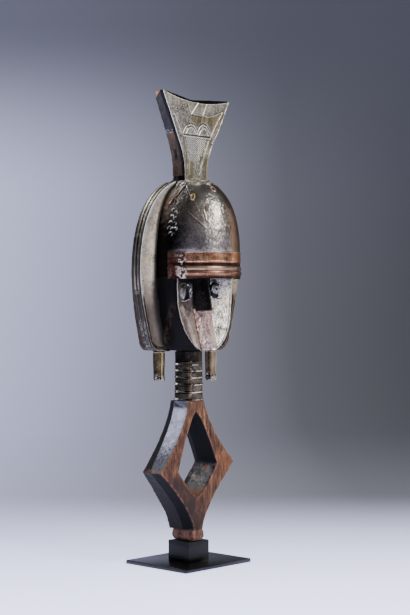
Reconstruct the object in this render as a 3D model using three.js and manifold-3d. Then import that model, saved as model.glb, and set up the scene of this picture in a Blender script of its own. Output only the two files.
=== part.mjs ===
import * as THREE from 'three';
import { mergeVertices } from 'three/addons/utils/BufferGeometryUtils.js';
import Module from 'manifold-3d';

const wasm = await Module();
wasm.setup();

// A carved wooden guardian figure clad in sheet copper and brass, on its stand.
// Millimetres, +Z up. The face looks along -Y, and +X is the figure's own left.
// The origin is the middle of the stand plate's underside.

// Fits between pieces
const gap = 0.3;
const sheet = 1.0;
const cladding = sheet + gap;

// Stand
const plateWidth = 116.5;
const plateDepth = 104.5;
const plateThickness = 4.5;
const blockWidth = 36;
const blockHeight = 24;
const standBevel = 0.7;

// Foot and openwork lozenge
const footWidth = 22;
const footDepth = 39;
const footSetback = 1.5;
const footHeight = 13.7;
const footNick = 2;
const notchWidth = 15;
const lowerArmHeight = 77.1;
const upperArmHeight = 83.4;
const lozengeWidth = 132;
const frontAtNeck = 13.8;
const frontAtCorner = 16.8;
const frontAtNotch = 17;
const lozengeBackTop = 17;
const lozengeBackFoot = 19;
const lozengeCornerDrop = 6;
const armTopEase = 2;
const arrisAtNeck = 9;
const arrisAtCorner = -2;
const arrisAtNotch = 0;
const arrisBend = 0.3;
const arrisSwell = 1.8;
const arrisSwellAtNotch = 4.5;
const backEdgeAtNeck = 1.5;
const backEdgeAtCorner = -1.6;
const backEdgeAtNotch = 8;
const openingHub = 7.4;
const openingWidth = 69;
const openingTop = 69.9;
const openingBottom = 36.6;
const openingTaper = 0.8;
const openingArris = 11;

// Neck and its brass winding
const neckWidth = 25;
const neckHeight = 61;
const windingThickness = 1.2;
const windingRidge = 1.3;
const windingPitch = 8.7;
const collarHeight = 11;
const neckRootDown = 4;
const neckRootUp = 12;

// Face, nose and eyes
const faceHeight = 91;
const faceWidth = 99;
const faceRimTop = 28;
const faceRimChin = 34;
const faceHollow = 9.5;
const chinHollow = 3;
const headWidth = 116;
const jawWidth = 74;
const noseLength = 41;
const noseTopWidth = 14;
const noseBottomWidth = 20;
const noseTopReach = 34;
const noseBottomReach = 41;
const noseRidge = 1.8;
const noseRoot = 3;
const stripRight = 11.5;
const stripLeft = 19;
const eyeSpacing = 58;
const eyeDrop = 16.5;
const eyeUnevenness = 3;
const eyeDiameter = 24;
const eyeHeight = 6.5;
const eyeSeat = 4;
const eyeLean = 0.3;
const eyeBreakStart = 1.5;
const eyeBreakWidth = 8;
const eyeBreakHeight = 13;
const eyeBreakFloor = 1.4;
const cheekFullness = 1.5;

// Forehead and brow band
const foreheadHeight = 126;
const foreheadReach = 69;
const bandHeight = 33;
const bandReturn = 26;
const bandMoulding = 3;
const templeRise = 18;
const browRise = 30;
const stapleWire = 1.6;
const upperStapleDrop = 18.1;
const upperStapleLength = 6;
const middleStapleDrop = 28.2;
const middleStapleLength = 8;

// Coiffure plate behind the face
const wingWidth = 177;
const wingTopAboveBrow = 124;
const wingWidestAboveBrow = 5;
const wingFoot = 145;
const wingCorner = 15;
const wingHeelCorner = 8;
const wingFootRise = 3;
const wingFootFlat = 22;
const wingRim = 4;
const wingCove = 6;
const wingCoveReach = 22;
const wingSheetReach = 45;
const wingBack = 14;
const wingBackFoot = 17.5;
const wingBackBlend = 100;
const wingBackRound = 1.4;
const wingCrown = 6;
const wingCrownStart = 16;
const wingCrownReach = 50;
const edgeStripDepth = 10;

// Pendants under the plate
const pendantSpacing = 92.5;
const pendantDiameter = 14.5;
const pendantLength = 35;
const pendantSetback = 6;
const pendantRoot = 9;
const pendantDent = 0.5;

// Crest
const crestHeight = 109;
const crestSink = 7;
const crestTopWidth = 121.5;
const crestBaseWidth = 40;
const crestSag = 9;
const crestTilt = 1.7;
const crestFlareStart = 0.27;
const crestChipDepth = 3;
const crestChipSize = 26;
const crestFrontBase = 12.3;
const crestFrontTop = 14.7;
const crestBackBase = 10;
const crestBackTop = 3;
const borderWidth = 8;
const reliefHeight = 0.9;
const reliefWidth = 2;
const archFoot = 0.56;
const crestJoint = 0.56;

// Heights above the underside of the stand
const blockBase = plateThickness + gap;
const blockTop = blockBase + blockHeight;
const footBase = blockTop + gap;
const notchZ = footBase + footHeight;
const cornerZ = notchZ + lowerArmHeight;
const neckBase = cornerZ + upperArmHeight;
const headBase = neckBase + neckHeight;
const browZ = headBase + faceHeight;
const domeTop = browZ + foreheadHeight;
const bandTop = browZ + bandHeight;
const wingBase = headBase + gap;
const wingTop = browZ + wingTopAboveBrow;
const wingWidest = browZ + wingWidestAboveBrow;
const crestBase = domeTop - crestSink;

// Where the strips round the plate's edge begin and end, from its front to its back
const stripStart = gap - 0.35 * wingRim;
const stripEnd = stripStart + edgeStripDepth;

const finishes = {
  wood: { color: 0x7a4526, roughness: 0.6, metalness: 0 },
  darkMetal: { color: 0x4d4640, roughness: 0.38, metalness: 1 },
  copper: { color: 0x9a5430, roughness: 0.35, metalness: 1 },
  brass: { color: 0x8f8350, roughness: 0.4, metalness: 1 },
  paleMetal: { color: 0xb3ab9a, roughness: 0.42, metalness: 1 },
  pinkCopper: { color: 0xb07a68, roughness: 0.35, metalness: 1 },
  blackStand: { color: 0x121214, roughness: 0.25, metalness: 0 },
};

const lerp = THREE.MathUtils.lerp;
const clamp = THREE.MathUtils.clamp;
const point = (x, y, z) => new THREE.Vector3(x, y, z);

function range(count, make) {
  return Array.from({ length: count }, (_, i) => make(i));
}

// A closed body through rings of equally many points; looped rings close on the first one.
function loft(rings, looped = false) {
  const size = rings[0].length;
  const vertices = rings.flat();
  const faces = [];
  const bands = looped ? rings.length : rings.length - 1;
  for (let r = 0; r < bands; r += 1) {
    const here = r * size;
    const next = ((r + 1) % rings.length) * size;
    for (let i = 0; i < size; i += 1) {
      const j = (i + 1) % size;
      faces.push(here + i, here + j, next + j, here + i, next + j, next + i);
    }
  }
  if (!looped) {
    addCap(vertices, faces, 0, size, false);
    addCap(vertices, faces, (rings.length - 1) * size, size, true);
  }
  return closedGeometry(vertices, faces);
}

function addCap(vertices, faces, start, size, last) {
  const middle = point(0, 0, 0);
  for (let i = 0; i < size; i += 1) middle.addScaledVector(vertices[start + i], 1 / size);
  const centre = vertices.push(middle) - 1;
  for (let i = 0; i < size; i += 1) {
    const a = start + i;
    const b = start + (i + 1) % size;
    if (last) faces.push(centre, a, b);
    else faces.push(centre, b, a);
  }
}

// The faces are turned round where the body would come out inside out.
function closedGeometry(vertices, faces) {
  let volume = 0;
  for (let f = 0; f < faces.length; f += 3) {
    const [a, b, c] = [vertices[faces[f]], vertices[faces[f + 1]], vertices[faces[f + 2]]];
    volume += a.dot(point(0, 0, 0).crossVectors(b, c));
  }
  const order = volume < 0 ? faces.slice().reverse() : faces;
  const geometry = new THREE.BufferGeometry().setFromPoints(vertices);
  geometry.setIndex(order);
  return geometry;
}

function solidOf(geometry) {
  const plain = geometry.clone();
  plain.deleteAttribute('normal');
  plain.deleteAttribute('uv');
  const merged = mergeVertices(plain, 1e-4);
  return new wasm.Manifold(new wasm.Mesh({
    numProp: 3,
    vertProperties: new Float32Array(merged.attributes.position.array),
    triVerts: new Uint32Array(merged.index.array),
  }));
}

function geometryOf(solid) {
  const mesh = solid.getMesh();
  const geometry = new THREE.BufferGeometry();
  const places = new Float32Array(mesh.vertProperties);
  geometry.setAttribute('position', new THREE.BufferAttribute(places, 3));
  geometry.setIndex(Array.from(mesh.triVerts));
  return geometry;
}

function joined(geometries) {
  return geometries.map(solidOf).reduce((whole, piece) => whole.add(piece));
}

function withoutAll(solid, cutters) {
  return cutters.map(solidOf).reduce((rest, cutter) => rest.subtract(cutter), solid);
}

// The main body of a cut piece, without the slivers that the cuts leave
function mainBody(solid) {
  return solid.decompose().reduce((best, body) => (body.volume() > best.volume() ? body : best));
}

function boxBetween(low, high) {
  const size = high.clone().sub(low);
  const box = new THREE.BoxGeometry(size.x, size.y, size.z);
  const middle = low.clone().add(high).multiplyScalar(0.5);
  return box.translate(middle.x, middle.y, middle.z);
}

// Rounded rectangle in plan, as a superellipse
function roundedRing(halfX, halfY, z, power, count) {
  return range(count, (i) => {
    const angle = (2 * Math.PI * (i + 0.5)) / count;
    const c = Math.cos(angle);
    const s = Math.sin(angle);
    const x = halfX * Math.sign(c) * Math.abs(c) ** (2 / power);
    const y = halfY * Math.sign(s) * Math.abs(s) ** (2 / power);
    return point(x, y, z);
  });
}

// Stand

function bevelledBlock(width, depth, base, height) {
  const ring = (inset, z) => {
    const x = width / 2 - inset;
    const y = depth / 2 - inset;
    const corner = standBevel;
    return [
      point(x - corner, -y, z), point(x, -y + corner, z),
      point(x, y - corner, z), point(x - corner, y, z),
      point(-x + corner, y, z), point(-x, y - corner, z),
      point(-x, -y + corner, z), point(-x + corner, -y, z),
    ];
  };
  return loft([
    ring(0, base),
    ring(0, base + height - standBevel),
    ring(standBevel, base + height),
  ]);
}

// Openwork lozenge

function outerHalfWidth(share, upper) {
  const corner = lozengeWidth / 2;
  if (upper) return lerp(neckWidth / 2 + armTopEase, corner, (1 - share) ** 1.52);
  return lerp(notchWidth / 2, corner, share ** 1.46);
}

function innerHalfWidth(share) {
  return (openingWidth / 2) * share ** 0.76;
}

// One side's stations from the neck down to the notch; side is -1 or 1.
function lozengeStations(side) {
  const steps = 9;
  const lift = (side * lozengeCornerDrop) / 2;
  const stations = [];
  for (let i = 0; i <= steps; i += 1) {
    const share = i / steps;
    stations.push({
      outer: [side * outerHalfWidth(1 - share, true), neckBase - upperArmHeight * share + lift * share],
      inner: [side * innerHalfWidth(share), cornerZ + openingTop * (1 - share) + lift * share],
      drop: 0,
      rise: 1 - share,
    });
  }
  for (let i = 1; i <= steps; i += 1) {
    const share = 1 - i / steps;
    stations.push({
      outer: [side * outerHalfWidth(share, false), notchZ + lowerArmHeight * share + lift * share],
      inner: [side * innerHalfWidth(share), cornerZ - openingBottom * (1 - share) + lift * share],
      drop: 1 - share,
      rise: 0,
    });
  }
  return stations;
}

// A section runs from the front outer edge over the outer arris to the back, and home inside.
function lozengeSection({ outer, inner, drop, rise }) {
  const side = Math.sign(outer[0]) || Math.sign(inner[0]);
  const back = lerp(lozengeBackTop, lozengeBackFoot, drop);
  const front = rise > 0
    ? lerp(frontAtCorner, frontAtNeck, rise)
    : lerp(frontAtCorner, frontAtNotch, drop);
  const arrisDepth = rise > 0
    ? lerp(arrisAtCorner, arrisAtNeck, rise ** arrisBend)
    : lerp(arrisAtCorner, arrisAtNotch, drop);
  const arrisOut = lerp(arrisSwell, arrisSwellAtNotch, drop) * side;
  const backEdge = rise > 0
    ? lerp(backEdgeAtCorner, backEdgeAtNeck, rise)
    : lerp(backEdgeAtCorner, backEdgeAtNotch, 1 - (1 - drop) ** 3);
  const hub = cornerZ + openingHub;
  const towards = (scale) => [inner[0] * scale, lerp(hub, inner[1], scale)];
  const [midX, midZ] = towards(openingTaper + 0.05);
  const [backX, backZ] = towards(openingTaper);
  return [
    point(outer[0], -front, outer[1]),
    point(outer[0] + arrisOut, arrisDepth, outer[1]),
    point(outer[0] + side * backEdge, back, outer[1]),
    point(backX, back, backZ),
    point(midX, openingArris, midZ),
    point(inner[0], -front, inner[1]),
  ];
}

function lozenge() {
  const left = lozengeStations(1);
  const right = lozengeStations(-1).reverse();
  const sections = [...left, ...right].map(lozengeSection);
  return loft(sections, true);
}

function footBlock() {
  const ring = (share, half, depthShare) => {
    const z = footBase + footHeight * share;
    const y = (footDepth / 2) * depthShare;
    const shift = footSetback;
    const nick = footNick;
    return [
      point(-half, -y + nick + shift, z), point(-half + nick, -y + shift, z),
      point(half - nick, -y + shift, z), point(half, -y + nick + shift, z),
      point(half, y - nick + shift, z), point(half - nick, y + shift, z),
      point(-half + nick, y + shift, z), point(-half, y - nick + shift, z),
    ];
  };
  return loft([
    ring(0, footWidth * 0.4, 0.88),
    ring(0.35, footWidth / 2, 1),
    ring(0.85, footWidth * 0.46, 0.97),
    ring(1.02, notchWidth / 2, 0.9),
    ring(1.5, notchWidth * 0.56, 0.92),
  ]);
}

const neckPower = 3.4;
const neckSides = 16;

function neckCore() {
  const ring = (z) => roundedRing(neckWidth / 2, neckWidth / 2, z, neckPower, neckSides);
  return loft([ring(neckBase - neckRootDown), ring(headBase + neckRootUp)]);
}

// Head: the bulging forehead above the brow, and the hollow face below it

function domeShare(z, start, inset) {
  return clamp((z - start) / (domeTop - inset - start), 0, 1);
}

function domeHalfWidth(z, inset) {
  const share = domeShare(z, browZ + templeRise, inset);
  return (headWidth / 2 - inset) * Math.sqrt(1 - share ** 2.2);
}

function domeReach(z, inset) {
  const share = domeShare(z, browZ + browRise, inset);
  return (foreheadReach - inset) * (1 - share ** 3) ** 0.47;
}

function domePoint(angle, z, inset) {
  const x = domeHalfWidth(z, inset) * Math.cos(angle);
  const y = -domeReach(z, inset) * Math.sin(angle);
  return point(x, y, z);
}

const domeSteps = 18;

function domeForm(inset) {
  const levels = [0, 0.13, 0.26, 0.4, 0.54, 0.67, 0.78, 0.87, 0.94, 0.98, 0.997];
  const base = browZ + inset;
  return loft(levels.map((level) => {
    const z = lerp(base, domeTop - inset, level);
    const arc = range(domeSteps + 1, (i) => domePoint((Math.PI * i) / domeSteps, z, inset));
    const half = domeHalfWidth(z, inset);
    return [...arc, point(-half, wingBack / 2, z), point(half, wingBack / 2, z)];
  }));
}

function faceHalfWidth(share) {
  return (faceWidth / 2) * Math.sqrt(1 - 0.98 * (1 - share) ** 2.8);
}

function jawHalfWidth(share) {
  return lerp(jawWidth / 2, headWidth / 2, 1 - (1 - share) ** 1.9);
}

function faceRimReach(share) {
  return lerp(faceRimChin, faceRimTop, Math.min(1, share * 1.6));
}

// How far in front of the neck's axis the face lies, at a share of its half width
function faceReach(across, share) {
  const hollow = lerp(chinHollow, faceHollow, Math.sin(Math.min(1, share * 1.3) * Math.PI / 2));
  return faceRimReach(share) - hollow * (1 - Math.abs(across) ** 2.2);
}

const faceLevels = [0, 0.03, 0.08, 0.15, 0.24, 0.34, 0.46, 0.6, 0.76, 0.9, 1];

function faceForm(inset) {
  const steps = 12;
  const levels = [Math.max(0, inset / faceHeight), ...faceLevels.slice(1), 1.05];
  return loft(levels.map((level) => {
    const share = Math.min(1, level);
    const z = headBase + faceHeight * level;
    const rim = faceHalfWidth(share) - inset;
    const jaw = jawHalfWidth(share) - inset;
    const front = range(steps + 1, (i) => {
      const across = 1 - (2 * i) / steps;
      return point(rim * across, -faceReach(across, share) + inset, z);
    });
    const cheek = (side) => point(
      side * (lerp(jaw, rim, 0.5) + cheekFullness),
      -faceRimReach(share) / 2,
      z,
    );
    return [
      point(jaw, wingBack / 2, z), point(jaw, 0, z), cheek(1),
      ...front,
      cheek(-1), point(-jaw, 0, z), point(-jaw, wingBack / 2, z),
    ];
  }));
}

function noseForm(inset) {
  const ring = (z, width, reach, level) => {
    const half = width / 2 - inset;
    const root = -faceReach(0, level);
    const ridge = noseRidge / 2;
    return [
      point(-half, 0, z), point(-half, root, z), point(-ridge, -reach + inset, z),
      point(ridge, -reach + inset, z), point(half, root, z), point(half, 0, z),
    ];
  };
  const bottom = 1 - noseLength / faceHeight;
  return loft([
    ring(browZ - noseLength + inset, noseBottomWidth, noseBottomReach, bottom),
    ring(browZ + (inset > 0 ? noseRoot : -gap), noseTopWidth, noseTopReach, 1),
  ]);
}

// Coiffure plate: an upright oval with a rounded foot, seen from the front

function wingOutline(corner) {
  const half = wingWidth / 2;
  const foot = wingFoot / 2;
  const rise = wingTop - wingWidest;
  const side = [];
  for (let i = 0; i <= 10; i += 1) {
    const angle = (Math.PI / 2) * (1 - i / 10);
    const x = half * Math.cos(angle) ** (2 / 2.25);
    side.push([x, wingWidest + rise * Math.sin(angle) ** (2 / 2.25)]);
  }
  const shoulder = wingBase + corner + wingFootRise;
  for (let i = 1; i <= 3; i += 1) {
    const share = i / 3;
    side.push([lerp(half, foot, share ** 1.6), lerp(wingWidest, shoulder, share)]);
  }
  for (let i = 1; i <= 4; i += 1) {
    const angle = (Math.PI / 2) * (i / 4);
    const x = foot - corner * (1 - Math.cos(angle)) - wingFootRise * (i / 4);
    side.push([x, shoulder - (corner + wingFootRise) * Math.sin(angle)]);
  }
  side.push([foot - wingCorner - wingFootFlat, wingBase]);
  return side;
}

const wingSide = wingOutline(wingCorner);
const wingHeel = wingOutline(wingHeelCorner);

// Where the strips round the edge meet, counted along the points of its outline
const stripJointUpper = 7.7;
const stripJointLower = 10.9;

// A place on the plate, in from its edge along the line to its middle
function wingPlace(station, side, inset, y, outline = wingSide) {
  const before = outline[Math.floor(station)];
  const after = outline[Math.ceil(station)];
  const x = lerp(before[0], after[0], station % 1);
  const z = lerp(before[1], after[1], station % 1);
  const middle = lerp(wingBase, wingWidest, 0.9);
  const reach = Math.hypot(x, z - middle);
  const scale = Math.max(0.02, 1 - inset / reach);
  return point(side * x * scale, y, middle + (z - middle) * scale);
}

function wingBackAt(z) {
  return lerp(wingBackFoot, wingBack, clamp((z - wingBase) / wingBackBlend, 0, 1));
}

// The front of the plate from its rolled rim inwards
const wingFace = [
  { inset: 0.2 * wingRim, y: -0.7 * wingRim },
  { inset: 0.55 * wingRim, y: -wingRim },
  { inset: wingRim, y: -0.9 * wingRim },
  { inset: 1.75 * wingRim, y: -0.5 * wingRim },
  { inset: 0.6 * wingCoveReach, y: -wingRim + wingCove * 0.7 },
  { inset: wingCoveReach, y: -wingRim + wingCove },
  { inset: wingSheetReach, y: -wingRim + wingCove },
];

function wingForm(inset) {
  const last = wingSide.length - 1;
  const loop = [
    ...range(last + 1, (i) => [i, 1]),
    ...range(last, (i) => [last - i, -1]),
  ];
  const ring = (edge, depth, outline) => loop.map(([station, side]) => {
    const z = wingSide[station][1];
    return wingPlace(station, side, edge + inset, depth(z), outline);
  });
  const front = wingFace.slice().reverse();
  return loft([
    ...front.map(({ inset: edge, y }) => ring(edge, () => y + inset)),
    ring(0, () => stripStart + inset - gap),
    ring(0, () => stripEnd),
    ring(0, (z) => wingBackAt(z) - wingBackRound, wingHeel),
    ring(wingBackRound, (z) => wingBackAt(z), wingHeel),
    ring(wingCrownStart, (z) => wingBackAt(z) + wingCrown * 0.45, wingHeel),
    ring(wingCrownReach, (z) => wingBackAt(z) + wingCrown, wingHeel),
  ]);
}

// Crest: flared from a narrow root, with a sagging top edge

function crestHalfWidth(share) {
  const bend = (t) => Math.hypot(t - crestFlareStart, 0.14) + t - crestFlareStart;
  const flare = (bend(share) - bend(0)) / (bend(1) - bend(0));
  return lerp(crestBaseWidth, crestTopWidth, flare) / 2;
}

function crestFront(share) {
  return lerp(crestFrontBase, crestFrontTop, share);
}

function crestBack(share) {
  return lerp(crestBackBase, crestBackTop, share);
}

function crestPoint(across, share, y, inset) {
  const half = crestHalfWidth(share) - inset;
  const sag = crestSag * (1 - across ** 2) * share ** 3;
  const tilt = crestTilt * across * share;
  return point(half * across, y, crestBase + crestHeight * share - sag - tilt);
}

const crestLevels = [0, 0.07, 0.18, 0.3, 0.43, crestJoint, 0.7, 0.85, 1];

function crestForm(inset) {
  const steps = 8;
  return loft(crestLevels.map((share) => {
    const row = (y) => range(steps + 1, (i) => {
      const across = -1 + (2 * i) / steps;
      return crestPoint(across, share, y, inset);
    });
    const front = row(-crestFront(share) + inset);
    const back = row(crestBack(share) + Math.max(0, -inset)).reverse();
    return [...front, ...back];
  }));
}

// The room of the break at the back of the figure's right-hand horn, to a depth below its corner
function crestChip(depth) {
  const [pitch, roll] = [-0.62, -0.75];
  const chip = new THREE.BoxGeometry(crestChipSize, crestChipSize, crestChipSize);
  chip.translate(0, 0, crestChipSize / 2);
  chip.rotateX(pitch);
  chip.rotateY(roll);
  const outward = point(0, 0, 1).applyAxisAngle(point(1, 0, 0), pitch).applyAxisAngle(point(0, 1, 0), roll);
  const corner = crestPoint(-1, 1, crestBackTop, 0).addScaledVector(outward, -depth);
  return chip.translate(corner.x, corner.y, corner.z);
}

function pendantCore(side) {
  const core = new THREE.CylinderGeometry(
    pendantDiameter / 2 - cladding, pendantDiameter / 2 - cladding, pendantLength + pendantRoot - gap, 14,
  );
  core.rotateX(Math.PI / 2);
  const middle = headBase - (pendantLength - pendantRoot - gap) / 2;
  return core.translate((side * pendantSpacing) / 2, pendantSetback, middle);
}

function carvedFigure() {
  const whole = joined([
    domeForm(cladding),
    faceForm(cladding),
    noseForm(cladding),
    wingForm(cladding),
    crestForm(cladding),
    neckCore(),
    lozenge(),
    footBlock(),
    pendantCore(-1),
    pendantCore(1),
  ]);
  return withoutAll(whole, [crestChip(crestChipDepth)]);
}

// Sheet metal

function foreheadSheet() {
  const shell = withoutAll(solidOf(domeForm(0)), [domeForm(sheet)]);
  const bandRoom = boxBetween(
    point(-headWidth, -foreheadReach * 2, browZ - 5),
    point(headWidth, -bandReturn, bandTop + gap),
  );
  return mainBody(withoutAll(shell, [bandRoom, wingForm(-gap), crestForm(-gap), faceForm(-gap)]));
}

// Moulded brow band: [share of its height, share of its moulding's height over the wood]
const bandProfile = [
  [1, 0.55], [0.97, 0.66], [0.62, 0.64], [0.57, 0.34], [0.5, 0.34], [0.45, 0.66],
  [0.38, 0.8], [0.31, 0.66], [0.28, 0.4], [0.24, 0.74], [0.13, 1], [0.04, 0.74], [0, 0.35],
];

function browBand() {
  const start = Math.asin(bandReturn / foreheadReach) + 0.02;
  const within = range(domeSteps, (i) => (Math.PI * i) / domeSteps)
    .filter((angle) => angle > start + 0.04 && angle < Math.PI - start - 0.04);
  const section = (angle) => {
    const place = (share, out) => {
      const z = lerp(browZ, bandTop, share);
      return domePoint(angle, z, cladding - out);
    };
    const outside = bandProfile.map(([share, out]) => place(share, out * bandMoulding));
    const inside = [0, 0.5, 1].map((share) => place(share, gap));
    return [...outside, ...inside];
  };
  return loft([start, ...within, Math.PI - start].map(section));
}

// Room in front of the face between two lines down it and two levels
function faceRoom(lineFrom, lineTo, levelFrom, levelTo) {
  const levels = [levelFrom, ...faceLevels.filter((l) => l > levelFrom && l < levelTo), levelTo];
  return loft(levels.map((level) => {
    const z = headBase + faceHeight * level;
    const [near, far] = [lineFrom(level), lineTo(level)];
    const front = -foreheadReach;
    return [point(near, front, z), point(far, front, z), point(far, 0, z), point(near, 0, z)];
  }));
}

// Half of the strip down the chin, which is wider on the figure's left
function stripHalf(side, level) {
  const [half, share] = side > 0 ? [stripLeft, 0.92] : [stripRight, 0.8];
  return Math.min(half, share * faceHalfWidth(level));
}

function faceSheet(room) {
  const shell = withoutAll(solidOf(faceForm(0)), [faceForm(sheet)]);
  return mainBody(withoutAll(shell.intersect(solidOf(room)), [noseForm(-gap)]));
}

function cheekSheet(side) {
  const inner = (level) => side * (stripHalf(side, level) + gap);
  const outer = (level) => side * (faceHalfWidth(level) - gap);
  return faceSheet(faceRoom(inner, outer, 0.02, 1 - gap / faceHeight));
}

function mouthStrip() {
  const right = (level) => -stripHalf(-1, level);
  const left = (level) => stripHalf(1, level);
  return faceSheet(faceRoom(right, left, 0.02, 1 - noseLength / faceHeight + 0.05));
}

function noseSheet() {
  const shell = withoutAll(solidOf(noseForm(0)), [noseForm(sheet)]);
  return withoutAll(shell, [faceForm(-gap)]);
}

// A domed eye with a rolled rim, seated on the hollow cheek and broken open towards the nose
function eyeBoss(side) {
  const radius = eyeDiameter / 2;
  const profile = [
    [0, -eyeSeat], [radius, -eyeSeat], [radius, eyeHeight * 0.14], [radius * 0.84, eyeHeight * 0.2],
    [radius * 0.76, eyeHeight * 0.15], [radius * 0.7, eyeHeight * 0.4], [radius * 0.52, eyeHeight * 0.72],
    [radius * 0.28, eyeHeight * 0.95], [0, eyeHeight],
  ];
  const boss = new THREE.LatheGeometry(profile.map(([r, h]) => new THREE.Vector2(r, h)), 14);
  const level = 1 - eyeDrop / faceHeight;
  const half = faceHalfWidth(level);
  const across = (side * eyeSpacing) / 2 / half;
  const step = 0.05;
  const rise = faceReach(across + step, level) - faceReach(across - step, level);
  const lift = (side * eyeUnevenness) / 2;
  const seat = point((side * eyeSpacing) / 2, -faceReach(across, level) - gap, browZ - eyeDrop + lift);
  const seated = (form) => {
    form.rotateX(Math.PI);
    form.rotateZ(-Math.atan2(rise, 2 * step * half) * eyeLean);
    return form.translate(seat.x, seat.y, seat.z);
  };
  const broken = new THREE.BoxGeometry(eyeBreakWidth, eyeHeight, eyeBreakHeight);
  broken.translate(-side * (eyeBreakStart + eyeBreakWidth / 2), eyeBreakFloor + eyeHeight / 2, 0);
  return mainBody(withoutAll(solidOf(seated(boss)), [seated(broken), faceForm(-gap), noseForm(-gap)]));
}

function wingSheet(side) {
  const stations = range(wingSide.length, (i) => i);
  const section = (station) => {
    const row = (lift) => wingFace.map(({ inset, y }) => wingPlace(station, side, inset + lift, y + lift));
    return [...row(0), ...row(sheet).reverse()];
  };
  const plate = solidOf(loft(stations.map(section)));
  const halfSpace = boxBetween(
    point(side > 0 ? -wingWidth : -gap, -wingWidth, 0),
    point(side > 0 ? gap : wingWidth, wingWidth, domeTop + crestHeight),
  );
  return withoutAll(plate, [halfSpace, domeForm(-gap), faceForm(-gap), crestForm(-gap), neckRoom()]);
}

function neckRoom() {
  const half = neckWidth / 2 + windingThickness + windingRidge + gap;
  return boxBetween(point(-half, -half, neckBase), point(half, half, headBase + gap));
}

// A strip nailed round the edge of the plate between two stations of its outline
function edgeStrip(side, from, to) {
  const within = range(wingSide.length, (i) => i).filter((station) => station > from && station < to);
  const stations = [from, ...within, to];
  return loft(stations.map((station) => [
    wingPlace(station, side, 0, stripStart),
    wingPlace(station, side, 0, stripEnd),
    wingPlace(station, side, sheet, stripEnd),
    wingPlace(station, side, sheet, stripStart),
  ]));
}

function onCrestFront(across, share, lift) {
  return crestPoint(across, share, -crestFront(share) - lift, 0);
}

// A raised line on the crest's face through places given as [across, share] pairs
function crestLine(places, width) {
  const ends = places.map(([across, share]) => onCrestFront(across, share, 0));
  const sections = ends.map((end, i) => {
    const before = ends[Math.max(0, i - 1)];
    const after = ends[Math.min(ends.length - 1, i + 1)];
    const along = after.clone().sub(before).normalize();
    const aside = point(along.z, 0, -along.x).normalize().multiplyScalar(width / 2);
    const sunk = point(0, sheet / 2, 0);
    return [
      end.clone().add(aside).add(sunk),
      end.clone().add(point(0, -reliefHeight, 0)),
      end.clone().sub(aside).add(sunk),
    ];
  });
  return loft(sections);
}

function crestArch(middle, spread, foot, rise) {
  const steps = 5;
  return crestLine(range(steps + 1, (i) => {
    const angle = (Math.PI * i) / steps;
    return [middle - spread * Math.cos(angle), foot + rise * Math.sin(angle)];
  }), reliefWidth);
}

function crestSheet() {
  const columns = 4;
  const levels = crestLevels.map((share) => lerp(0.02, 0.985, share));
  const panel = loft(levels.map((share) => {
    const row = (lift) => range(columns + 1, (i) => {
      const across = (1 - 0.8 / crestHalfWidth(share)) * (-1 + (2 * i) / columns);
      return crestPoint(across, share, -crestFront(share) + lift, 0);
    });
    return [...row(0), ...row(sheet).reverse()];
  }));
  const border = (side) => crestLine([0.04, 0.2, 0.36, 0.55, 0.97].map((share) => (
    [side * (1 - borderWidth / crestHalfWidth(share) / 2), share]
  )), reliefWidth);
  const arches = [-0.28, 0.39].flatMap((middle) => [
    crestArch(middle, 0.33, archFoot, 0.115),
    crestArch(middle, 0.19, archFoot, 0.07),
  ]);
  const lines = [
    [[-0.64, archFoot], [0.05, archFoot], [0.74, archFoot]],
    [[-0.28, 0.93], [-0.22, 0.85]],
    [[0.04, 0.94], [-0.19, 0.83]],
    [[-0.17, 0.82], [0.2, 0.79]],
    [[-0.79, 0.78], [-0.73, 0.59]],
  ];
  const details = [border(-1), border(1), ...arches, ...lines.map((line) => crestLine(line, reliefWidth))];
  const relief = details.map(solidOf).reduce((whole, line) => whole.add(line), solidOf(panel));
  return mainBody(withoutAll(relief, [domeForm(-gap), wingForm(-gap)]));
}

function crestEdge(side, from, to) {
  const shares = [from, ...crestLevels.filter((level) => level > from && level < to), to];
  const strip = loft(shares.map((share) => {
    const place = (inset, y) => crestPoint(side, share, y, inset);
    const front = -crestFront(share) + sheet + gap;
    const back = crestBack(share) - 1;
    return [place(0, front), place(0, back), place(sheet, back), place(sheet, front)];
  }));
  const cutters = [wingForm(-gap), domeForm(-gap)];
  return withoutAll(solidOf(strip), side < 0 ? [...cutters, crestChip(crestChipDepth * 3)] : cutters);
}

// Brass strip wound round the neck, under a plain collar
function neckWinding() {
  const top = headBase - gap;
  const base = neckBase + gap;
  const coils = Math.floor((top - collarHeight - base) / windingPitch);
  const pitch = (top - collarHeight - base) / coils;
  const outside = [[base, 0]];
  for (let i = 0; i < coils; i += 1) {
    outside.push([base + pitch * (i + 0.62), windingRidge]);
    outside.push([base + pitch * (i + 1), 0]);
  }
  outside.push([top, 0.3 * windingRidge]);
  const half = neckWidth / 2;
  const section = (i) => {
    const place = (z, out) => roundedRing(half + out, half + out, z, neckPower, neckSides)[i];
    const outer = outside.map(([z, out]) => place(z, gap + windingThickness + out));
    return [...outer, place(top, gap), place(base, gap)];
  };
  return loft(range(neckSides, section), true);
}

function pendantSleeve(side) {
  const outer = pendantDiameter / 2;
  const inner = outer - sheet;
  const low = headBase - pendantLength;
  const high = headBase - gap;
  const at = (share) => lerp(low, high, share);
  const profile = [
    [inner, low], [outer - pendantDent / 2, low], [outer, at(0.06)], [outer - pendantDent, at(0.26)],
    [outer, at(0.77)], [outer - pendantDent / 2, high], [inner, high], [inner, low],
  ];
  const sleeve = new THREE.LatheGeometry(profile.map(([r, z]) => new THREE.Vector2(r, z)), 14);
  sleeve.rotateX(Math.PI / 2);
  const solid = solidOf(sleeve.translate((side * pendantSpacing) / 2, pendantSetback, 0));
  return withoutAll(solid, [wingForm(-gap)]);
}

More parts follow.
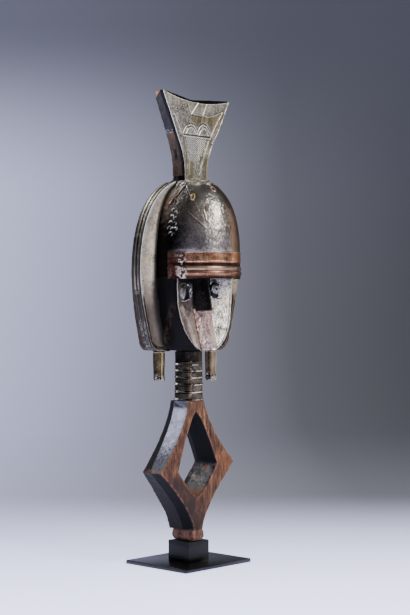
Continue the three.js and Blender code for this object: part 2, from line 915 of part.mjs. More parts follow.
// A wire staple driven over a seam of the forehead; tilt turns it on the surface.
function staple(angle, z, tilt, length) {
  const step = 0.01;
  const foot = domePoint(angle, z, 0);
  const aside = domePoint(angle + step, z, 0).sub(foot).normalize();
  const upward = domePoint(angle, z + 1, 0).sub(foot).normalize();
  const out = point(0, 0, 0).crossVectors(aside, upward).normalize();
  if (out.y > 0) out.negate();
  const along = upward.clone().multiplyScalar(Math.cos(tilt)).addScaledVector(aside, Math.sin(tilt));
  const across = point(0, 0, 0).crossVectors(along, out);
  const low = 2 * gap;
  const corner = (share, width, height) => foot.clone()
    .addScaledVector(along, share * length)
    .addScaledVector(across, width * stapleWire)
    .addScaledVector(out, height);
  return loft([[-0.5, 0.5], [-0.35, 1], [0.35, 1], [0.5, 0.5]].map(([share, height]) => {
    const top = low + height * stapleWire * 0.8;
    return [
      corner(share, -0.5, low), corner(share, -0.35, top),
      corner(share, 0.35, top), corner(share, 0.5, low),
    ];
  }));
}

const figure = new THREE.Group();

function addPiece(name, shape, finish) {
  const geometry = shape.isBufferGeometry ? shape : geometryOf(shape);
  const material = new THREE.MeshStandardMaterial({ ...finishes[finish], flatShading: true });
  const mesh = new THREE.Mesh(geometry, material);
  mesh.name = name;
  figure.add(mesh);
  return mesh;
}

addPiece('stand_plate', bevelledBlock(plateWidth, plateDepth, 0, plateThickness), 'blackStand');
addPiece('stand_block', bevelledBlock(blockWidth, blockWidth, blockBase, blockHeight), 'blackStand');
addPiece('carved_figure', carvedFigure(), 'wood');
addPiece('neck_winding', neckWinding(), 'brass');
addPiece('forehead_sheet', foreheadSheet(), 'darkMetal');
addPiece('brow_band', browBand(), 'copper');
addPiece('mouth_strip', mouthStrip(), 'pinkCopper');
addPiece('nose_sheet', noseSheet(), 'darkMetal');
addPiece('crest_sheet', crestSheet(), 'paleMetal');

for (const [side, hand] of [[-1, 'right'], [1, 'left']]) {
  addPiece(`cheek_sheet_${hand}`, cheekSheet(side), 'paleMetal');
  addPiece(`coiffure_sheet_${hand}`, wingSheet(side), 'paleMetal');
  addPiece(`edge_strip_upper_${hand}`, edgeStrip(side, 2, stripJointUpper), 'brass');
  addPiece(`edge_strip_middle_${hand}`, edgeStrip(side, stripJointUpper + 0.02, stripJointLower), 'brass');
  const stripFoot = wingSide.length - 3;
  addPiece(`edge_strip_lower_${hand}`, edgeStrip(side, stripJointLower + 0.02, stripFoot), 'brass');
  addPiece(`crest_edge_upper_${hand}`, crestEdge(side, crestJoint, 0.98), 'darkMetal');
  addPiece(`crest_edge_lower_${hand}`, crestEdge(side, 0.07, crestJoint - gap / crestHeight), 'darkMetal');
  addPiece(`pendant_sleeve_${hand}`, pendantSleeve(side), 'brass');
  addPiece(`eye_boss_${hand}`, eyeBoss(side), 'darkMetal');
}

const upperStaple = staple(1.768, domeTop - upperStapleDrop, 0.5, upperStapleLength);
const middleStaple = staple(2.425, domeTop - middleStapleDrop, 0.1, middleStapleLength);
addPiece('forehead_staple_upper', upperStaple, 'copper');
addPiece('forehead_staple_middle', middleStaple, 'brass');

export default figure;
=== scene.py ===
import itertools
import math

import bpy
import numpy as np
from mathutils import Matrix, Vector


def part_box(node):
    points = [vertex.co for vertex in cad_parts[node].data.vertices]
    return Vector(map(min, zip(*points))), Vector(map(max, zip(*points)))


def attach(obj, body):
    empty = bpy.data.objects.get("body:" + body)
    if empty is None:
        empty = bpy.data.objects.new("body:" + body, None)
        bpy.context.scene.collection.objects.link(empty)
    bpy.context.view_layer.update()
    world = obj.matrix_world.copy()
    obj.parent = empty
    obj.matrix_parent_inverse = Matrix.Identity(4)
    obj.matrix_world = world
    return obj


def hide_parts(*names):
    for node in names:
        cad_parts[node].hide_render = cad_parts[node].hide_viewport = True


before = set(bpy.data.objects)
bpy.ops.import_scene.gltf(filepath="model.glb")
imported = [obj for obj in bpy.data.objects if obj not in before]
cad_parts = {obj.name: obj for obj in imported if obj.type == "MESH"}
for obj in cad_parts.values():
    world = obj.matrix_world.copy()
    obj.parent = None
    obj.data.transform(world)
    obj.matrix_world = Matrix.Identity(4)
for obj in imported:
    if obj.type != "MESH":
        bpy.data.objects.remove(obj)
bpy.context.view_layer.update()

mm = 0.001
root = "root"
hands = ((-1, "right"), (1, "left"))

# Camera, at the photograph's place
view = {"place": (-1.3097, -1.2711, 0.3169), "turn": -46.5, "tiltUp": 0.06, "lens": 85.46}
bpy.ops.object.select_all(action="DESELECT")
bpy.ops.object.camera_add(
    location=view["place"],
    rotation=(math.radians(90 + view["tiltUp"]), 0, math.radians(view["turn"])),
)
camera = bpy.context.object
camera.data.lens = view["lens"]
camera.data.sensor_width = 36
bpy.context.scene.camera = camera
print("camera set")


# Small tools for shapes

def lerp(a, b, t):
    return a + (b - a) * t


def ease(low, high, value):
    t = np.clip((value - low) / (high - low), 0, 1)
    return t * t * (3 - 2 * t)


def bell(value, width):
    return np.exp(-(value / width) ** 2)


def clearSelection():
    bpy.ops.object.select_all(action="DESELECT")


def choose(piece):
    clearSelection()
    piece.select_set(True)
    bpy.context.view_layer.objects.active = piece


def inEditMode(piece, *steps):
    choose(piece)
    bpy.ops.object.mode_set(mode="EDIT")
    bpy.ops.mesh.select_all(action="SELECT")
    for step in steps:
        step()
    bpy.ops.object.mode_set(mode="OBJECT")


def addModifier(piece, kind, **settings):
    choose(piece)
    modifier = piece.modifiers.new(kind.title(), kind)
    for key, value in settings.items():
        setattr(modifier, key, value)
    bpy.ops.object.modifier_apply(modifier=modifier.name)


def readColumns(piece, what):
    values = np.empty(len(piece.data.vertices) * 3)
    piece.data.vertices.foreach_get(what, values)
    return values.reshape(-1, 3)


def readPoints(piece):
    return readColumns(piece, "co") / mm


def readNormals(piece):
    return readColumns(piece, "normal")


def writePoints(piece, points):
    piece.data.vertices.foreach_set("co", (points * mm).ravel())
    piece.data.update()


def writeValues(piece, name, values):
    layer = piece.data.attributes.get(name) or piece.data.attributes.new(name, "FLOAT", "POINT")
    layer.data.foreach_set("value", np.asarray(values, dtype=np.float32))


def asPoints(x, y, z):
    return np.stack(np.broadcast_arrays(x, y, z), axis=-1)


def hashed(cell, seed):
    mixed = (cell[..., 0] * 374761393 + cell[..., 1] * 668265263 + cell[..., 2] * 1440662683 + seed * 974711)
    mixed = (mixed ^ (mixed >> 13)) & 0xFFFFFFFF
    mixed = (mixed * 1274126177) & 0xFFFFFFFF
    return ((mixed ^ (mixed >> 16)) & 0xFFFF) / 65535.0


def softNoise(points, size, seed=0):  # -1 to 1, its lumps about size mm wide
    spots = points / size
    cell = np.floor(spots).astype(np.int64)
    part = spots - cell
    part = part * part * (3 - 2 * part)
    total = np.zeros(points.shape[:-1])
    for corner in itertools.product((0, 1), repeat=3):
        share = np.prod(np.where(corner, part, 1 - part), axis=-1)
        total += share * hashed(cell + np.array(corner), seed)
    return total * 2 - 1


def layered(points, size, seed=0):
    return (softNoise(points, size, seed) + 0.5 * softNoise(points, size / 2, seed + 1)
            + 0.25 * softNoise(points, size / 4, seed + 2)) / 1.75


def cellDistances(points, size, seed=0):  # to the nearest and second nearest of scattered spots
    spots = points / size
    cell = np.floor(spots).astype(np.int64)
    first = np.full(points.shape[:-1], 9.0)
    second = first.copy()
    for corner in itertools.product((-1, 0, 1), repeat=3):
        there = cell + np.array(corner)
        spot = there + np.stack([hashed(there, seed + k) for k in range(3)], axis=-1)
        away = np.linalg.norm(spots - spot, axis=-1)
        second = np.minimum(second, np.maximum(first, away))
        first = np.minimum(first, away)
    return first, second


def hammered(points, size, depth, seed=0):  # shallow overlapping dents
    first, second = cellDistances(points, size, seed)
    return -depth * (1 - np.clip(first, 0, 1) ** 2) + depth * 0.35 * bell(second - first, 0.12)


def awayFromLine(across, up, path):  # mm from a line through places
    best = np.full(np.shape(across), 1e9)
    for (x0, y0), (x1, y1) in zip(path, path[1:]):
        dx, dy = x1 - x0, y1 - y0
        share = np.clip(((across - x0) * dx + (up - y0) * dy) / (dx * dx + dy * dy), 0, 1)
        best = np.minimum(best, np.hypot(across - x0 - dx * share, up - y0 - dy * share))
    return best


def named(piece, name):
    piece.name = piece.data.name = name
    return piece


def meshSheet(name, columns, rows, place):  # a grid from 0 to 1 each way, moved to its place
    clearSelection()
    bpy.ops.mesh.primitive_grid_add(x_subdivisions=columns, y_subdivisions=rows, size=1,
                                    location=(0.5, 0.5, 0))
    piece = named(bpy.context.object, name)
    bpy.ops.object.transform_apply(location=True, rotation=False, scale=False)
    spots = readPoints(piece) * mm
    writePoints(piece, place(spots[:, 0], spots[:, 1]))
    return piece


def mergeDoubles(piece, away=0.02):
    inEditMode(piece, lambda: bpy.ops.mesh.remove_doubles(threshold=away * mm))


def turnOutward(piece):
    inEditMode(piece, lambda: bpy.ops.mesh.normals_make_consistent(inside=False))


def flipIf(piece, wrong):
    if wrong:
        inEditMode(piece, lambda: bpy.ops.mesh.flip_normals())


def closeSeam(piece, centre=(0, 0, 0)):  # of a tube that stands on end, with its outside outward
    mergeDoubles(piece, 0.01)
    turnOutward(piece)
    outward = (readPoints(piece) - centre) * (1, 1, 0)
    flipIf(piece, (readNormals(piece) * outward).sum(axis=1).mean() < 0)


def closeEnds(piece):
    inEditMode(piece, lambda: bpy.ops.mesh.fill_holes(sides=0))
    turnOutward(piece)


def thicken(piece, wall):
    addModifier(piece, "SOLIDIFY", thickness=wall * mm, offset=-1, use_even_offset=True)


def smoothShade(piece, angle=40):
    choose(piece)
    bpy.ops.object.shade_smooth_by_angle(angle=math.radians(angle))


def remesh(piece, voxel, smoothing):
    addModifier(piece, "REMESH", mode="VOXEL", voxel_size=voxel * mm)
    addModifier(piece, "SMOOTH", factor=0.5, iterations=smoothing)


def copyOfNode(node, name):
    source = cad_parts[node]
    piece = source.copy()
    piece.data = source.data.copy()
    piece.parent = None
    piece.matrix_world = Matrix()
    bpy.context.scene.collection.objects.link(piece)
    mergeDoubles(piece, 0.005)
    return named(piece, name)


def neighbourMean(points, ends, degree):
    total = np.zeros_like(points)
    for axis in range(points.shape[1]):
        column = points[:, axis]
        total[:, axis] = (np.bincount(ends[:, 0], column[ends[:, 1]], len(points))
                          + np.bincount(ends[:, 1], column[ends[:, 0]], len(points)))
    return total / degree[:, None]


def markEdges(piece, steps=12):  # "edge" holds mm of bulge: above 0 on edges, below 0 in hollows
    mesh = piece.data
    ends = np.empty(len(mesh.edges) * 2, dtype=np.int64)
    mesh.edges.foreach_get("vertices", ends)
    ends = ends.reshape(-1, 2)
    degree = np.maximum(1, np.bincount(ends.ravel(), minlength=len(mesh.vertices)))
    points = readPoints(piece)
    smooth = points.copy()
    for _ in range(steps):
        smooth = lerp(smooth, neighbourMean(smooth, ends, degree), 0.8)
    bulge = ((points - smooth) * readNormals(piece)).sum(axis=1)
    writeValues(piece, "edge", bulge)
    return bulge


def finishShape(piece, steps=6, angle=50):
    markEdges(piece, steps)
    smoothShade(piece, angle)
    return piece


def finishSheet(piece, wall, steps=6):
    thicken(piece, wall)
    turnOutward(piece)
    return finishShape(piece, steps)


def pushOut(piece, amounts):
    writePoints(piece, readPoints(piece) + readNormals(piece) * amounts[:, None])


def settle(piece, material, slot, *nodes):
    piece.data.materials.clear()
    piece.data.materials.append(material)
    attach(piece, root)
    if nodes:
        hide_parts(*nodes)


def joinPieces(name, pieces):
    clearSelection()
    for piece in pieces:
        piece.select_set(True)
    bpy.context.view_layer.objects.active = pieces[0]
    bpy.ops.object.join()
    return named(pieces[0], name)


# Materials

class Signal:
    def __init__(self, finish, socket):
        self.finish = finish
        self.socket = socket

    def math(self, operation, first, second):
        return self.finish.node("ShaderNodeMath", {"operation": operation}, {0: first, 1: second})

    def __add__(self, other):
        return self.math("ADD", self, other)

    def __radd__(self, other):
        return self.math("ADD", other, self)

    def __sub__(self, other):
        return self.math("SUBTRACT", self, other)

    def __rsub__(self, other):
        return self.math("SUBTRACT", other, self)

    def __mul__(self, other):
        return self.math("MULTIPLY", self, other)

    def __rmul__(self, other):
        return self.math("MULTIPLY", other, self)

    def most(self, other):
        return self.math("MAXIMUM", self, other)

    def within(self, start, full, last, end):  # 1 from full to last, 0 before start and after end
        return self.between(start, full) * self.between(end, last)

    def between(self, low, high):  # 0 below low and 1 above high, eased
        settings = {"interpolation_type": "SMOOTHSTEP"}
        values = {"Value": self, "From Min": low, "From Max": high, "To Min": 0.0, "To Max": 1.0}
        if low > high:
            values.update({"From Min": high, "From Max": low, "To Min": 1.0, "To Max": 0.0})
        return self.finish.node("ShaderNodeMapRange", settings, values)


class Finish:  # a material whose base colour is built in layers, the later ones over the earlier
    def __init__(self, name, **fixed):
        self.material = bpy.data.materials.new(name)
        self.material.use_nodes = True
        self.tree = self.material.node_tree
        self.tree.nodes.clear()
        self.shader = self.tree.nodes.new("ShaderNodeBsdfPrincipled")
        output = self.tree.nodes.new("ShaderNodeOutputMaterial")
        self.tree.links.new(self.shader.outputs[0], output.inputs["Surface"])
        self.bumped = self.colour = None
        for key, value in fixed.items():
            self.shader.inputs[key.replace("_", " ")].default_value = value

    def node(self, kind, settings=None, sockets=None, output=0):
        made = self.tree.nodes.new(kind)
        for key, value in (settings or {}).items():
            if key == "stops":
                while len(made.color_ramp.elements) < len(value):
                    made.color_ramp.elements.new(0.5)
                for element, (spot, colour) in zip(made.color_ramp.elements, value):
                    element.position = spot
                    element.color = colour
            else:
                setattr(made, key, value)
        for key, value in (sockets or {}).items():
            if isinstance(value, Signal):
                self.tree.links.new(value.socket, made.inputs[key])
            else:
                made.inputs[key].default_value = value
        return Signal(self, made.outputs[output])

    def coordinates(self, stretch=(1, 1, 1), turn=(0, 0, 0)):
        place = self.node("ShaderNodeTexCoord", output=3)
        return self.node("ShaderNodeMapping", {}, {"Vector": place, "Scale": stretch, "Rotation": turn})

    def noise(self, size, detail=4, rough=0.55, stretch=(1, 1, 1), twist=0.0, turn=(0, 0, 0)):
        return self.node("ShaderNodeTexNoise", {}, {
            "Vector": self.coordinates(stretch, turn), "Scale": 1000 / size, "Detail": detail,
            "Roughness": rough, "Distortion": twist,
        })

    def cells(self, size):
        return self.node("ShaderNodeTexVoronoi", {}, {"Vector": self.coordinates(), "Scale": 1000 / size})

    def value(self, name):
        return self.node("ShaderNodeAttribute", {"attribute_name": name}, output=2)

    def edges(self, *spans):  # how far the "edge" value has gone through each span
        return [self.value("edge").between(*span) for span in spans]

    def axis(self, vector, name):
        return self.node("ShaderNodeSeparateXYZ", {}, {0: vector}, output="XYZ".index(name))

    def place(self, name):  # mm along one axis
        return self.axis(self.node("ShaderNodeTexCoord", output=3), name) * 1000

    x = property(lambda self: self.place("X"))
    y = property(lambda self: self.place("Y"))
    z = property(lambda self: self.place("Z"))

    def facing(self, name):
        return self.axis(self.node("ShaderNodeNewGeometry", output=1), name)

    def ramp(self, signal, *stops):
        stops = [(spot, tone(colour)) for spot, colour in stops]
        return self.node("ShaderNodeValToRGB", {"stops": stops}, {0: signal})

    def mix(self, share, first, second):
        sockets = {0: share, 6: tone(first), 7: tone(second)}
        return self.node("ShaderNodeMix", {"data_type": "RGBA"}, sockets, output=2)

    def mottle(self, signal, dark, middle, light, reach=0.08):  # a short ramp, as noise crowds round a half
        return self.ramp(signal, (0.5 - reach, dark), (0.5, middle), (0.5 + reach, light))

    def layers(self, colour, *covers):  # each a share and a colour, the later ones over the earlier
        for share, over in covers:
            colour = self.mix(share, colour, over)
        return colour

    def cover(self, share, colour):
        self.colour = self.mix(share, self.colour, colour)

    def bump(self, height, depth, strength=1.0):  # depth in mm for a height from 0 to 1
        if isinstance(height, tuple):
            height = self.noise(*height)
        sockets = {"Height": height, "Distance": depth * mm, "Strength": strength}
        if self.bumped:
            sockets["Normal"] = self.bumped
        self.bumped = self.node("ShaderNodeBump", {}, sockets)

    def set(self, **signals):
        signals.setdefault("Base_Color", self.colour)
        if self.bumped:
            signals["Normal"] = self.bumped
        for key, value in signals.items():
            self.tree.links.new(value.socket, self.shader.inputs[key.replace("_", " ")])
        return self.material


def tone(colour):  # three screen values to the shader's own; signals and colours of four stay as they are
    if isinstance(colour, Signal) or len(colour) != 3:
        return colour
    shares = [value / 255 for value in colour]
    return (*(s / 12.92 if s <= 0.04045 else ((s + 0.055) / 1.055) ** 2.4 for s in shares), 1.0)


def metal(name, cloud, speck, high, low, metallic=1.0, **fixed):  # with its cloud, speck, edges and hollows
    finish = Finish(name, Metallic=metallic, **fixed)
    return finish, finish.noise(*cloud), finish.noise(*speck), *finish.edges(high, low)


# Stand: a black lacquered plate and block

stand = {"round": 0.7, "steps": 3}


def roundedBox(name, node):
    low, high = (Vector(corner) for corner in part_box(node))
    clearSelection()
    bpy.ops.mesh.primitive_cube_add(size=1, location=(low + high) / 2, scale=high - low)
    piece = named(bpy.context.object, name)
    bpy.ops.object.transform_apply(location=True, rotation=True, scale=True)
    floor = low.z + 0.5 * mm
    bpy.ops.object.mode_set(mode="EDIT")
    bpy.ops.mesh.select_mode(type="EDGE")
    bpy.ops.mesh.select_all(action="DESELECT")
    bpy.ops.object.mode_set(mode="OBJECT")
    for edge in piece.data.edges:
        edge.select = any(piece.data.vertices[i].co.z > floor for i in edge.vertices)
    bpy.ops.object.mode_set(mode="EDIT")
    bpy.ops.mesh.bevel(offset=stand["round"] * mm, segments=stand["steps"], affect="EDGES")
    bpy.ops.object.mode_set(mode="OBJECT")
    smoothShade(piece, 35)
    return piece


def makeBlackLacquer():
    finish = Finish("black_lacquer", Metallic=0.0, Coat_Weight=0.12, Coat_Roughness=0.05,
                    Specular_IOR_Level=0.34)
    cloud = finish.noise(26, 3)
    dust = finish.noise(0.9, 2, 0.7).between(0.66, 0.8)
    finish.bump((16, 2), 0.05)
    return finish.set(
        Base_Color=finish.mix(dust * 0.3, (8, 8, 9), (52, 52, 56)),
        Roughness=cloud * 0.1 + 0.2 + dust * 0.2 + finish.z.between(8.5, 9.5) * 0.32,
    )


blackLacquer = makeBlackLacquer()
for part in ("plate", "block"):
    settle(roundedBox(f"lacquered_{part}", f"stand_{part}"), blackLacquer, "black_stand", f"stand_{part}")
print("stand made")


# Carved wood: the openwork base, and the head with its coiffure plate and crest

wood = {
    "cutHeight": 236, "baseGrain": 1.1, "headGrain": 1.8, "adzeSize": 13, "adzeDepth": 0.3,
    "chipDepth": 0.8, "headInset": 0.15, "corner": 119.9, "neckFoot": 203.3, "innerArris": 11,
    "outerArris": (-2, 9), "backDent": 11, "backDepth": 0.35, "streakDepth": 0.12,
}


def carvedPiece(name, keepBelow, voxel, smoothing):
    piece = copyOfNode("carved_figure", name)
    cut = {"plane_co": (0, 0, wood["cutHeight"] * mm), "plane_no": (0, 0, 1), "use_fill": True,
           "clear_outer": keepBelow, "clear_inner": not keepBelow}
    inEditMode(piece, lambda: bpy.ops.mesh.bisect(**cut))
    remesh(piece, voxel, smoothing)
    return piece


carvedBase = carvedPiece("carved_base", True, wood["baseGrain"], 2)
edge = markEdges(carvedBase, 12)
points, normals = readPoints(carvedBase), readNormals(carvedBase)
writeValues(carvedBase, "front", -normals[:, 1])

# Which facet a place is on: 1 behind the arris that runs along each arm, 0 before it
rise = np.clip((points[:, 2] - wood["corner"]) / (wood["neckFoot"] - wood["corner"]), 0, 1)
outerArris = np.where(points[:, 2] > wood["corner"], lerp(*wood["outerArris"], rise ** 0.3), -1)
outside = points[:, 0] * normals[:, 0] > 0
arris = np.where(outside, outerArris, wood["innerArris"])
writeValues(carvedBase, "rear", ease(-0.7, 0.7, points[:, 1] - arris))
writeValues(carvedBase, "outside", outside)

onEdge = ease(0.12, 0.5, edge)
adze = hammered(points * (1, 1, 0.35), wood["adzeSize"] * 0.7, wood["adzeDepth"], 3)
chips = -wood["chipDepth"] * onEdge * ease(0.15, 0.7, layered(points, 7, 11))
streaks = wood["streakDepth"] * layered(points * (1, 1, 0.12), 2.4, 21) * ease(0.6, 0.95, -normals[:, 1])
pushOut(carvedBase, adze + chips + streaks)
smoothShade(carvedBase, 60)

carvedHead = carvedPiece("carved_head", False, wood["headGrain"], 3)
points, normals = readPoints(carvedHead), readNormals(carvedHead)
writeValues(carvedHead, "front", normals[:, 1])
backTools = hammered(points * (1, 1, 0.5), wood["backDent"], wood["backDepth"], 8)
backTools *= ease(0.5, 0.9, normals[:, 1])
pushOut(carvedHead, backTools - wood["headInset"])
finishShape(carvedHead, 12, 60)
print("carved wood made")


def makeWornWood():
    finish = Finish("worn_wood", Metallic=0.0, Specular_IOR_Level=0.22, Coat_Roughness=0.22)
    grain = finish.noise(3.2, 5, 0.6, stretch=(1, 1, 0.16), twist=0.5)
    fine = finish.noise(0.9, 3, 0.6, stretch=(1, 1, 0.07))
    cloud = finish.noise(24, 4, 0.6, stretch=(1, 1, 0.6))
    edge, hollow = finish.edges((0.02, 0.5), (-0.05, -0.5))
    height = finish.z
    block = height.between(43.5, 42)
    front = (finish.value("front") + (cloud - 0.5) * 0.5).between(0.45, 0.85).most(block)
    mottle = finish.noise(6, 5, 0.7, stretch=(1, 1, 0.35))
    brown = finish.layers(
        finish.ramp(grain * 0.6 + fine * 0.4, (0.39, (38, 25, 17)), (0.47, (76, 49, 32)),
                    (0.55, (108, 71, 45)), (0.62, (156, 112, 76))),
        (cloud.between(0.5, 0.7) * 0.55, (54, 31, 22)),
        # painted shade: darker towards the bottom, where the light falls off, with some patina
        (height.between(125, 45) * 0.82, (44, 29, 21)),
        (finish.x.between(34, 56) * 0.3, (138, 86, 50)),
        (mottle.between(0.52, 0.62) * 0.3, (140, 92, 62)),
        (mottle.between(0.47, 0.38) * 0.5, (44, 29, 23)),
        # painted shade: the lower front towards the figure's right darker, where the light falls off
        (finish.x.between(6, -14) * height.between(122, 100) * 0.7, (40, 27, 22)),
        (block * 0.75, finish.mix(mottle.between(0.42, 0.56), (80, 56, 44), (136, 98, 72))),
        (edge * finish.noise(5, 3, 0.6).between(0.4, 0.6) * 0.25, (160, 112, 80)),
    )

    rising = finish.facing("Z").between(0.12, 0.3)
    rear = finish.value("rear").between(0.3, 0.7)
    outside = finish.value("outside").between(0.4, 0.6)
    broken = (finish.noise(3, 5, 0.75) - 0.5) * 70
    # the band of heights where the outer facets that face up take a painted reflection of the lamps
    sheenBand = (height + broken).between(132, 158) * height.between(208, 188)
    specks = finish.noise(1.7, 4, 0.7).between(0.55, 0.6) * finish.noise(8, 2).between(0.45, 0.56)
    # silver: the painted reflection itself, pale and mottled, with real dark specks of patina
    silver = finish.layers(
        finish.mix(sheenBand, (58, 59, 64), (214, 214, 222)),
        (finish.noise(9, 4, 0.6).between(0.42, 0.6) * 0.35, (110, 112, 122)),
        (finish.y.between(-9, -15) * 0.6, (92, 88, 90)),
        (specks * height.between(192, 172), (22, 20, 20)),
    )
    scraped = finish.noise(7, 5, 0.75, stretch=(0.3, 1, 1), turn=(0, 0.55, 0)).between(0.5, 0.62)
    # slate: the inner facets that face up, painted darker as shade from the arms, with real scratches and
    # brown wood low down
    slate = finish.layers(
        finish.mix(finish.noise(13, 4, 0.6).between(0.44, 0.58), (64, 66, 70), (28, 27, 29)),
        (scraped * finish.x.between(4, 26).most(height.between(101, 90)) * 0.8, (122, 86, 62)),
        ((height + broken * 0.3).between(99, 88) * 0.85, (104, 72, 52)),
    )
    corner = height.within(115.5, 117.5, 120, 122.5) * outside * finish.x.between(-40, -60)
    scratch = finish.noise(5, 3, 0.6, stretch=(1, 1, 0.05), twist=0.4).between(0.62, 0.7)
    falling = finish.facing("Z").between(-0.05, -0.25) * (1 - rear)
    patina = finish.layers(
        finish.ramp(finish.noise(9, 5, 0.65, stretch=(1, 1, 0.4)), (0.35, (10, 9, 9)),
                    (0.58, (22, 19, 19)), (0.78, (50, 35, 27))),
        (scratch * 0.5, (120, 78, 50)),
        ((edge * finish.noise(4, 3)).between(0.3, 0.7) * 0.45, (140, 96, 68)),
        # painted reflection on the outer facets that face up
        (rising * outside * (1 - rear) * 0.9, silver),
        (rear * 0.85, (31, 28, 27)),
        (corner * finish.noise(5, 4, 0.7).between(0.44, 0.54) * 0.8, (120, 80, 58)),
        # painted shade on the inner facets that face up
        (rising * (1 - outside), slate),
        # painted shade: facets that face down, nearly black
        (falling * 0.95, (4, 4, 4)),
    )
    finish.colour = finish.mix(front, patina, brown)
    # painted shade in the carved hollows, left out low on the inner faces
    inner = (1 - outside) * height.between(104, 98)
    finish.cover(hollow * 0.7 * (1 - inner), (14, 11, 10))
    finish.bump(grain, 0.5, 0.6)
    finish.bump(fine, 0.18, 0.5)
    finish.bump((1.1, 4, 0.7), 0.22, 0.5)
    matt = (falling + rear * 0.7) * (1 - front)
    return finish.set(Roughness=0.34 + front * 0.24 + fine * 0.16 - edge * 0.06 + matt * 0.42,
                      Coat_Weight=(1 - front) * (1 - falling) * (1 - rear) * 0.2)


def makeDarkWood():
    finish = Finish("dark_wood", Metallic=0.0, Specular_IOR_Level=0.08)
    grain = finish.noise(4, 5, 0.6, stretch=(1, 1, 0.1))
    cloud = finish.noise(30, 4, 0.6)
    edge = finish.value("edge").between(0.05, 0.6)
    raw = finish.z.between(566, 571) * finish.x.between(-46, -50) * finish.y.between(-9, -6)
    back = finish.y.between(-4, 2)
    lean = finish.z + finish.y * 2.2
    streak = lean.within(262, 270, 276, 290) * finish.noise(6, 4, 0.6).between(0.42, 0.6)
    finish.colour = finish.layers(
        # nearly black in front: painted shade over the dark wood; the back keeps the wood's own brown
        finish.ramp(grain, (0.35, (5, 4, 3)), (0.6, (10, 8, 6)), (0.75, (20, 14, 10))),
        (back, finish.ramp(grain, (0.42, (20, 16, 13)), (0.5, (40, 32, 26)), (0.6, (70, 56, 44)))),
        (streak * finish.z.between(330, 315) * (1 - back), (50, 37, 28)),
        (cloud.between(0.5, 0.75) * back * 0.5, (58, 46, 40)),
        (edge * back * 0.3, (70, 60, 52)),
        (raw, finish.ramp(grain, (0.4, (176, 124, 90)), (0.7, (232, 190, 150)))),
    )
    finish.bump(grain, 0.5, 0.6)
    finish.bump((1.3, 4, 0.7), 0.2, 0.5)
    return finish.set(Roughness=0.42 + grain * 0.25 + raw * 0.2)


wornWood = makeWornWood()
settle(carvedBase, wornWood, "carved_wood", "carved_figure")
settle(carvedHead, makeDarkWood(), "carved_wood", "carved_figure")


# Forms of the head in mm, as the wood under the metal has them

head = {
    "brow": 355.3, "top": 481.3, "base": 264.3, "width": 116.0, "reach": 69.0,
    "faceHeight": 91.0, "faceWidth": 99.0, "jawWidth": 74.0, "rimTop": 28.0, "rimChin": 34.0,
}


def domeHalfWidth(z, inset=0.0):
    start = head["brow"] + 18
    share = np.clip((z - start) / (head["top"] - inset - start), 0, 1)
    return (head["width"] / 2 - inset) * np.sqrt(1 - share ** 2.2)


def domeReach(z, inset=0.0):
    start = head["brow"] + 30
    share = np.clip((z - start) / (head["top"] - inset - start), 0, 1)
    return (head["reach"] - inset) * (1 - share ** 3) ** 0.47


def domePlace(angle, z, out=0.0):
    x = domeHalfWidth(z, -out) * np.cos(angle)
    y = -domeReach(z, -out) * np.sin(angle)
    return asPoints(x, y, z)


def faceHalfWidth(share):
    return head["faceWidth"] / 2 * np.sqrt(1 - 0.98 * (1 - share) ** 2.8)


def jawHalfWidth(share):
    return lerp(head["jawWidth"] / 2, head["width"] / 2, 1 - (1 - share) ** 1.9)


def faceReach(across, share):
    rim = lerp(head["rimChin"], head["rimTop"], np.minimum(1, share * 1.6))
    hollow = lerp(3.0, 9.5, np.sin(np.minimum(1, share * 1.3) * np.pi / 2))
    return rim - hollow * (1 - np.abs(across) ** 2.2)


def facePlace(x, share, out=0.0):
    across = np.clip(x / faceHalfWidth(share), -1, 1)
    return asPoints(x, -faceReach(across, share) - out, head["base"] + head["faceHeight"] * share)


def aroundDome(points):  # the angle round the forehead from the figure's left
    x, y, z = points.T
    return np.arctan2(-y / np.maximum(domeReach(z), 1), x / np.maximum(domeHalfWidth(z), 1))


# Forehead: dark hammered sheet

forehead = {
    "columns": 280, "rows": 122, "wall": 0.9, "dentSize": 11, "dentDepth": 0.25, "curlHeight": 0.8,
    "curlRadius": 1.7, "seamHeight": 0.4,
    "seams": [[(2.617, 469.3), (2.275, 435.7)], [(2.52, 435.1), (2.156, 416.1)],
              [(2.184, 438.2), (2.125, 425.8)]],
    "foldedStrip": [(2.97, 446.7), (2.659, 470.7)], "overlap": 0.02, "tuck": 1.5,
    "curls": [(2.89, 450.8), (2.841, 437.6), (2.778, 433.7), (2.845, 429.6), (2.768, 426.9),
              (2.852, 422.0), (2.771, 420.4), (2.873, 415.4), (2.803, 414.3), (2.743, 414.4),
              (2.831, 409.0), (2.768, 406.9)],
}
turnMm = 62  # mm round the forehead for each radian


def unrolled(path):  # places given as angle and height, in mm
    return [(angle * turnMm, z) for angle, z in path]


def placeForehead(u, v):
    overlap = forehead["overlap"]
    turn = 1 - (u * (1 + 2 * overlap) - overlap)
    angle = np.clip(turn, 0, 1) * np.pi
    z = lerp(head["brow"] + 0.2, head["top"] - 0.03, 1 - (1 - v) ** 1.7)
    points = domePlace(angle, z)
    points[:, 1] += np.abs(turn - np.clip(turn, 0, 1)) * forehead["tuck"] / overlap
    return points


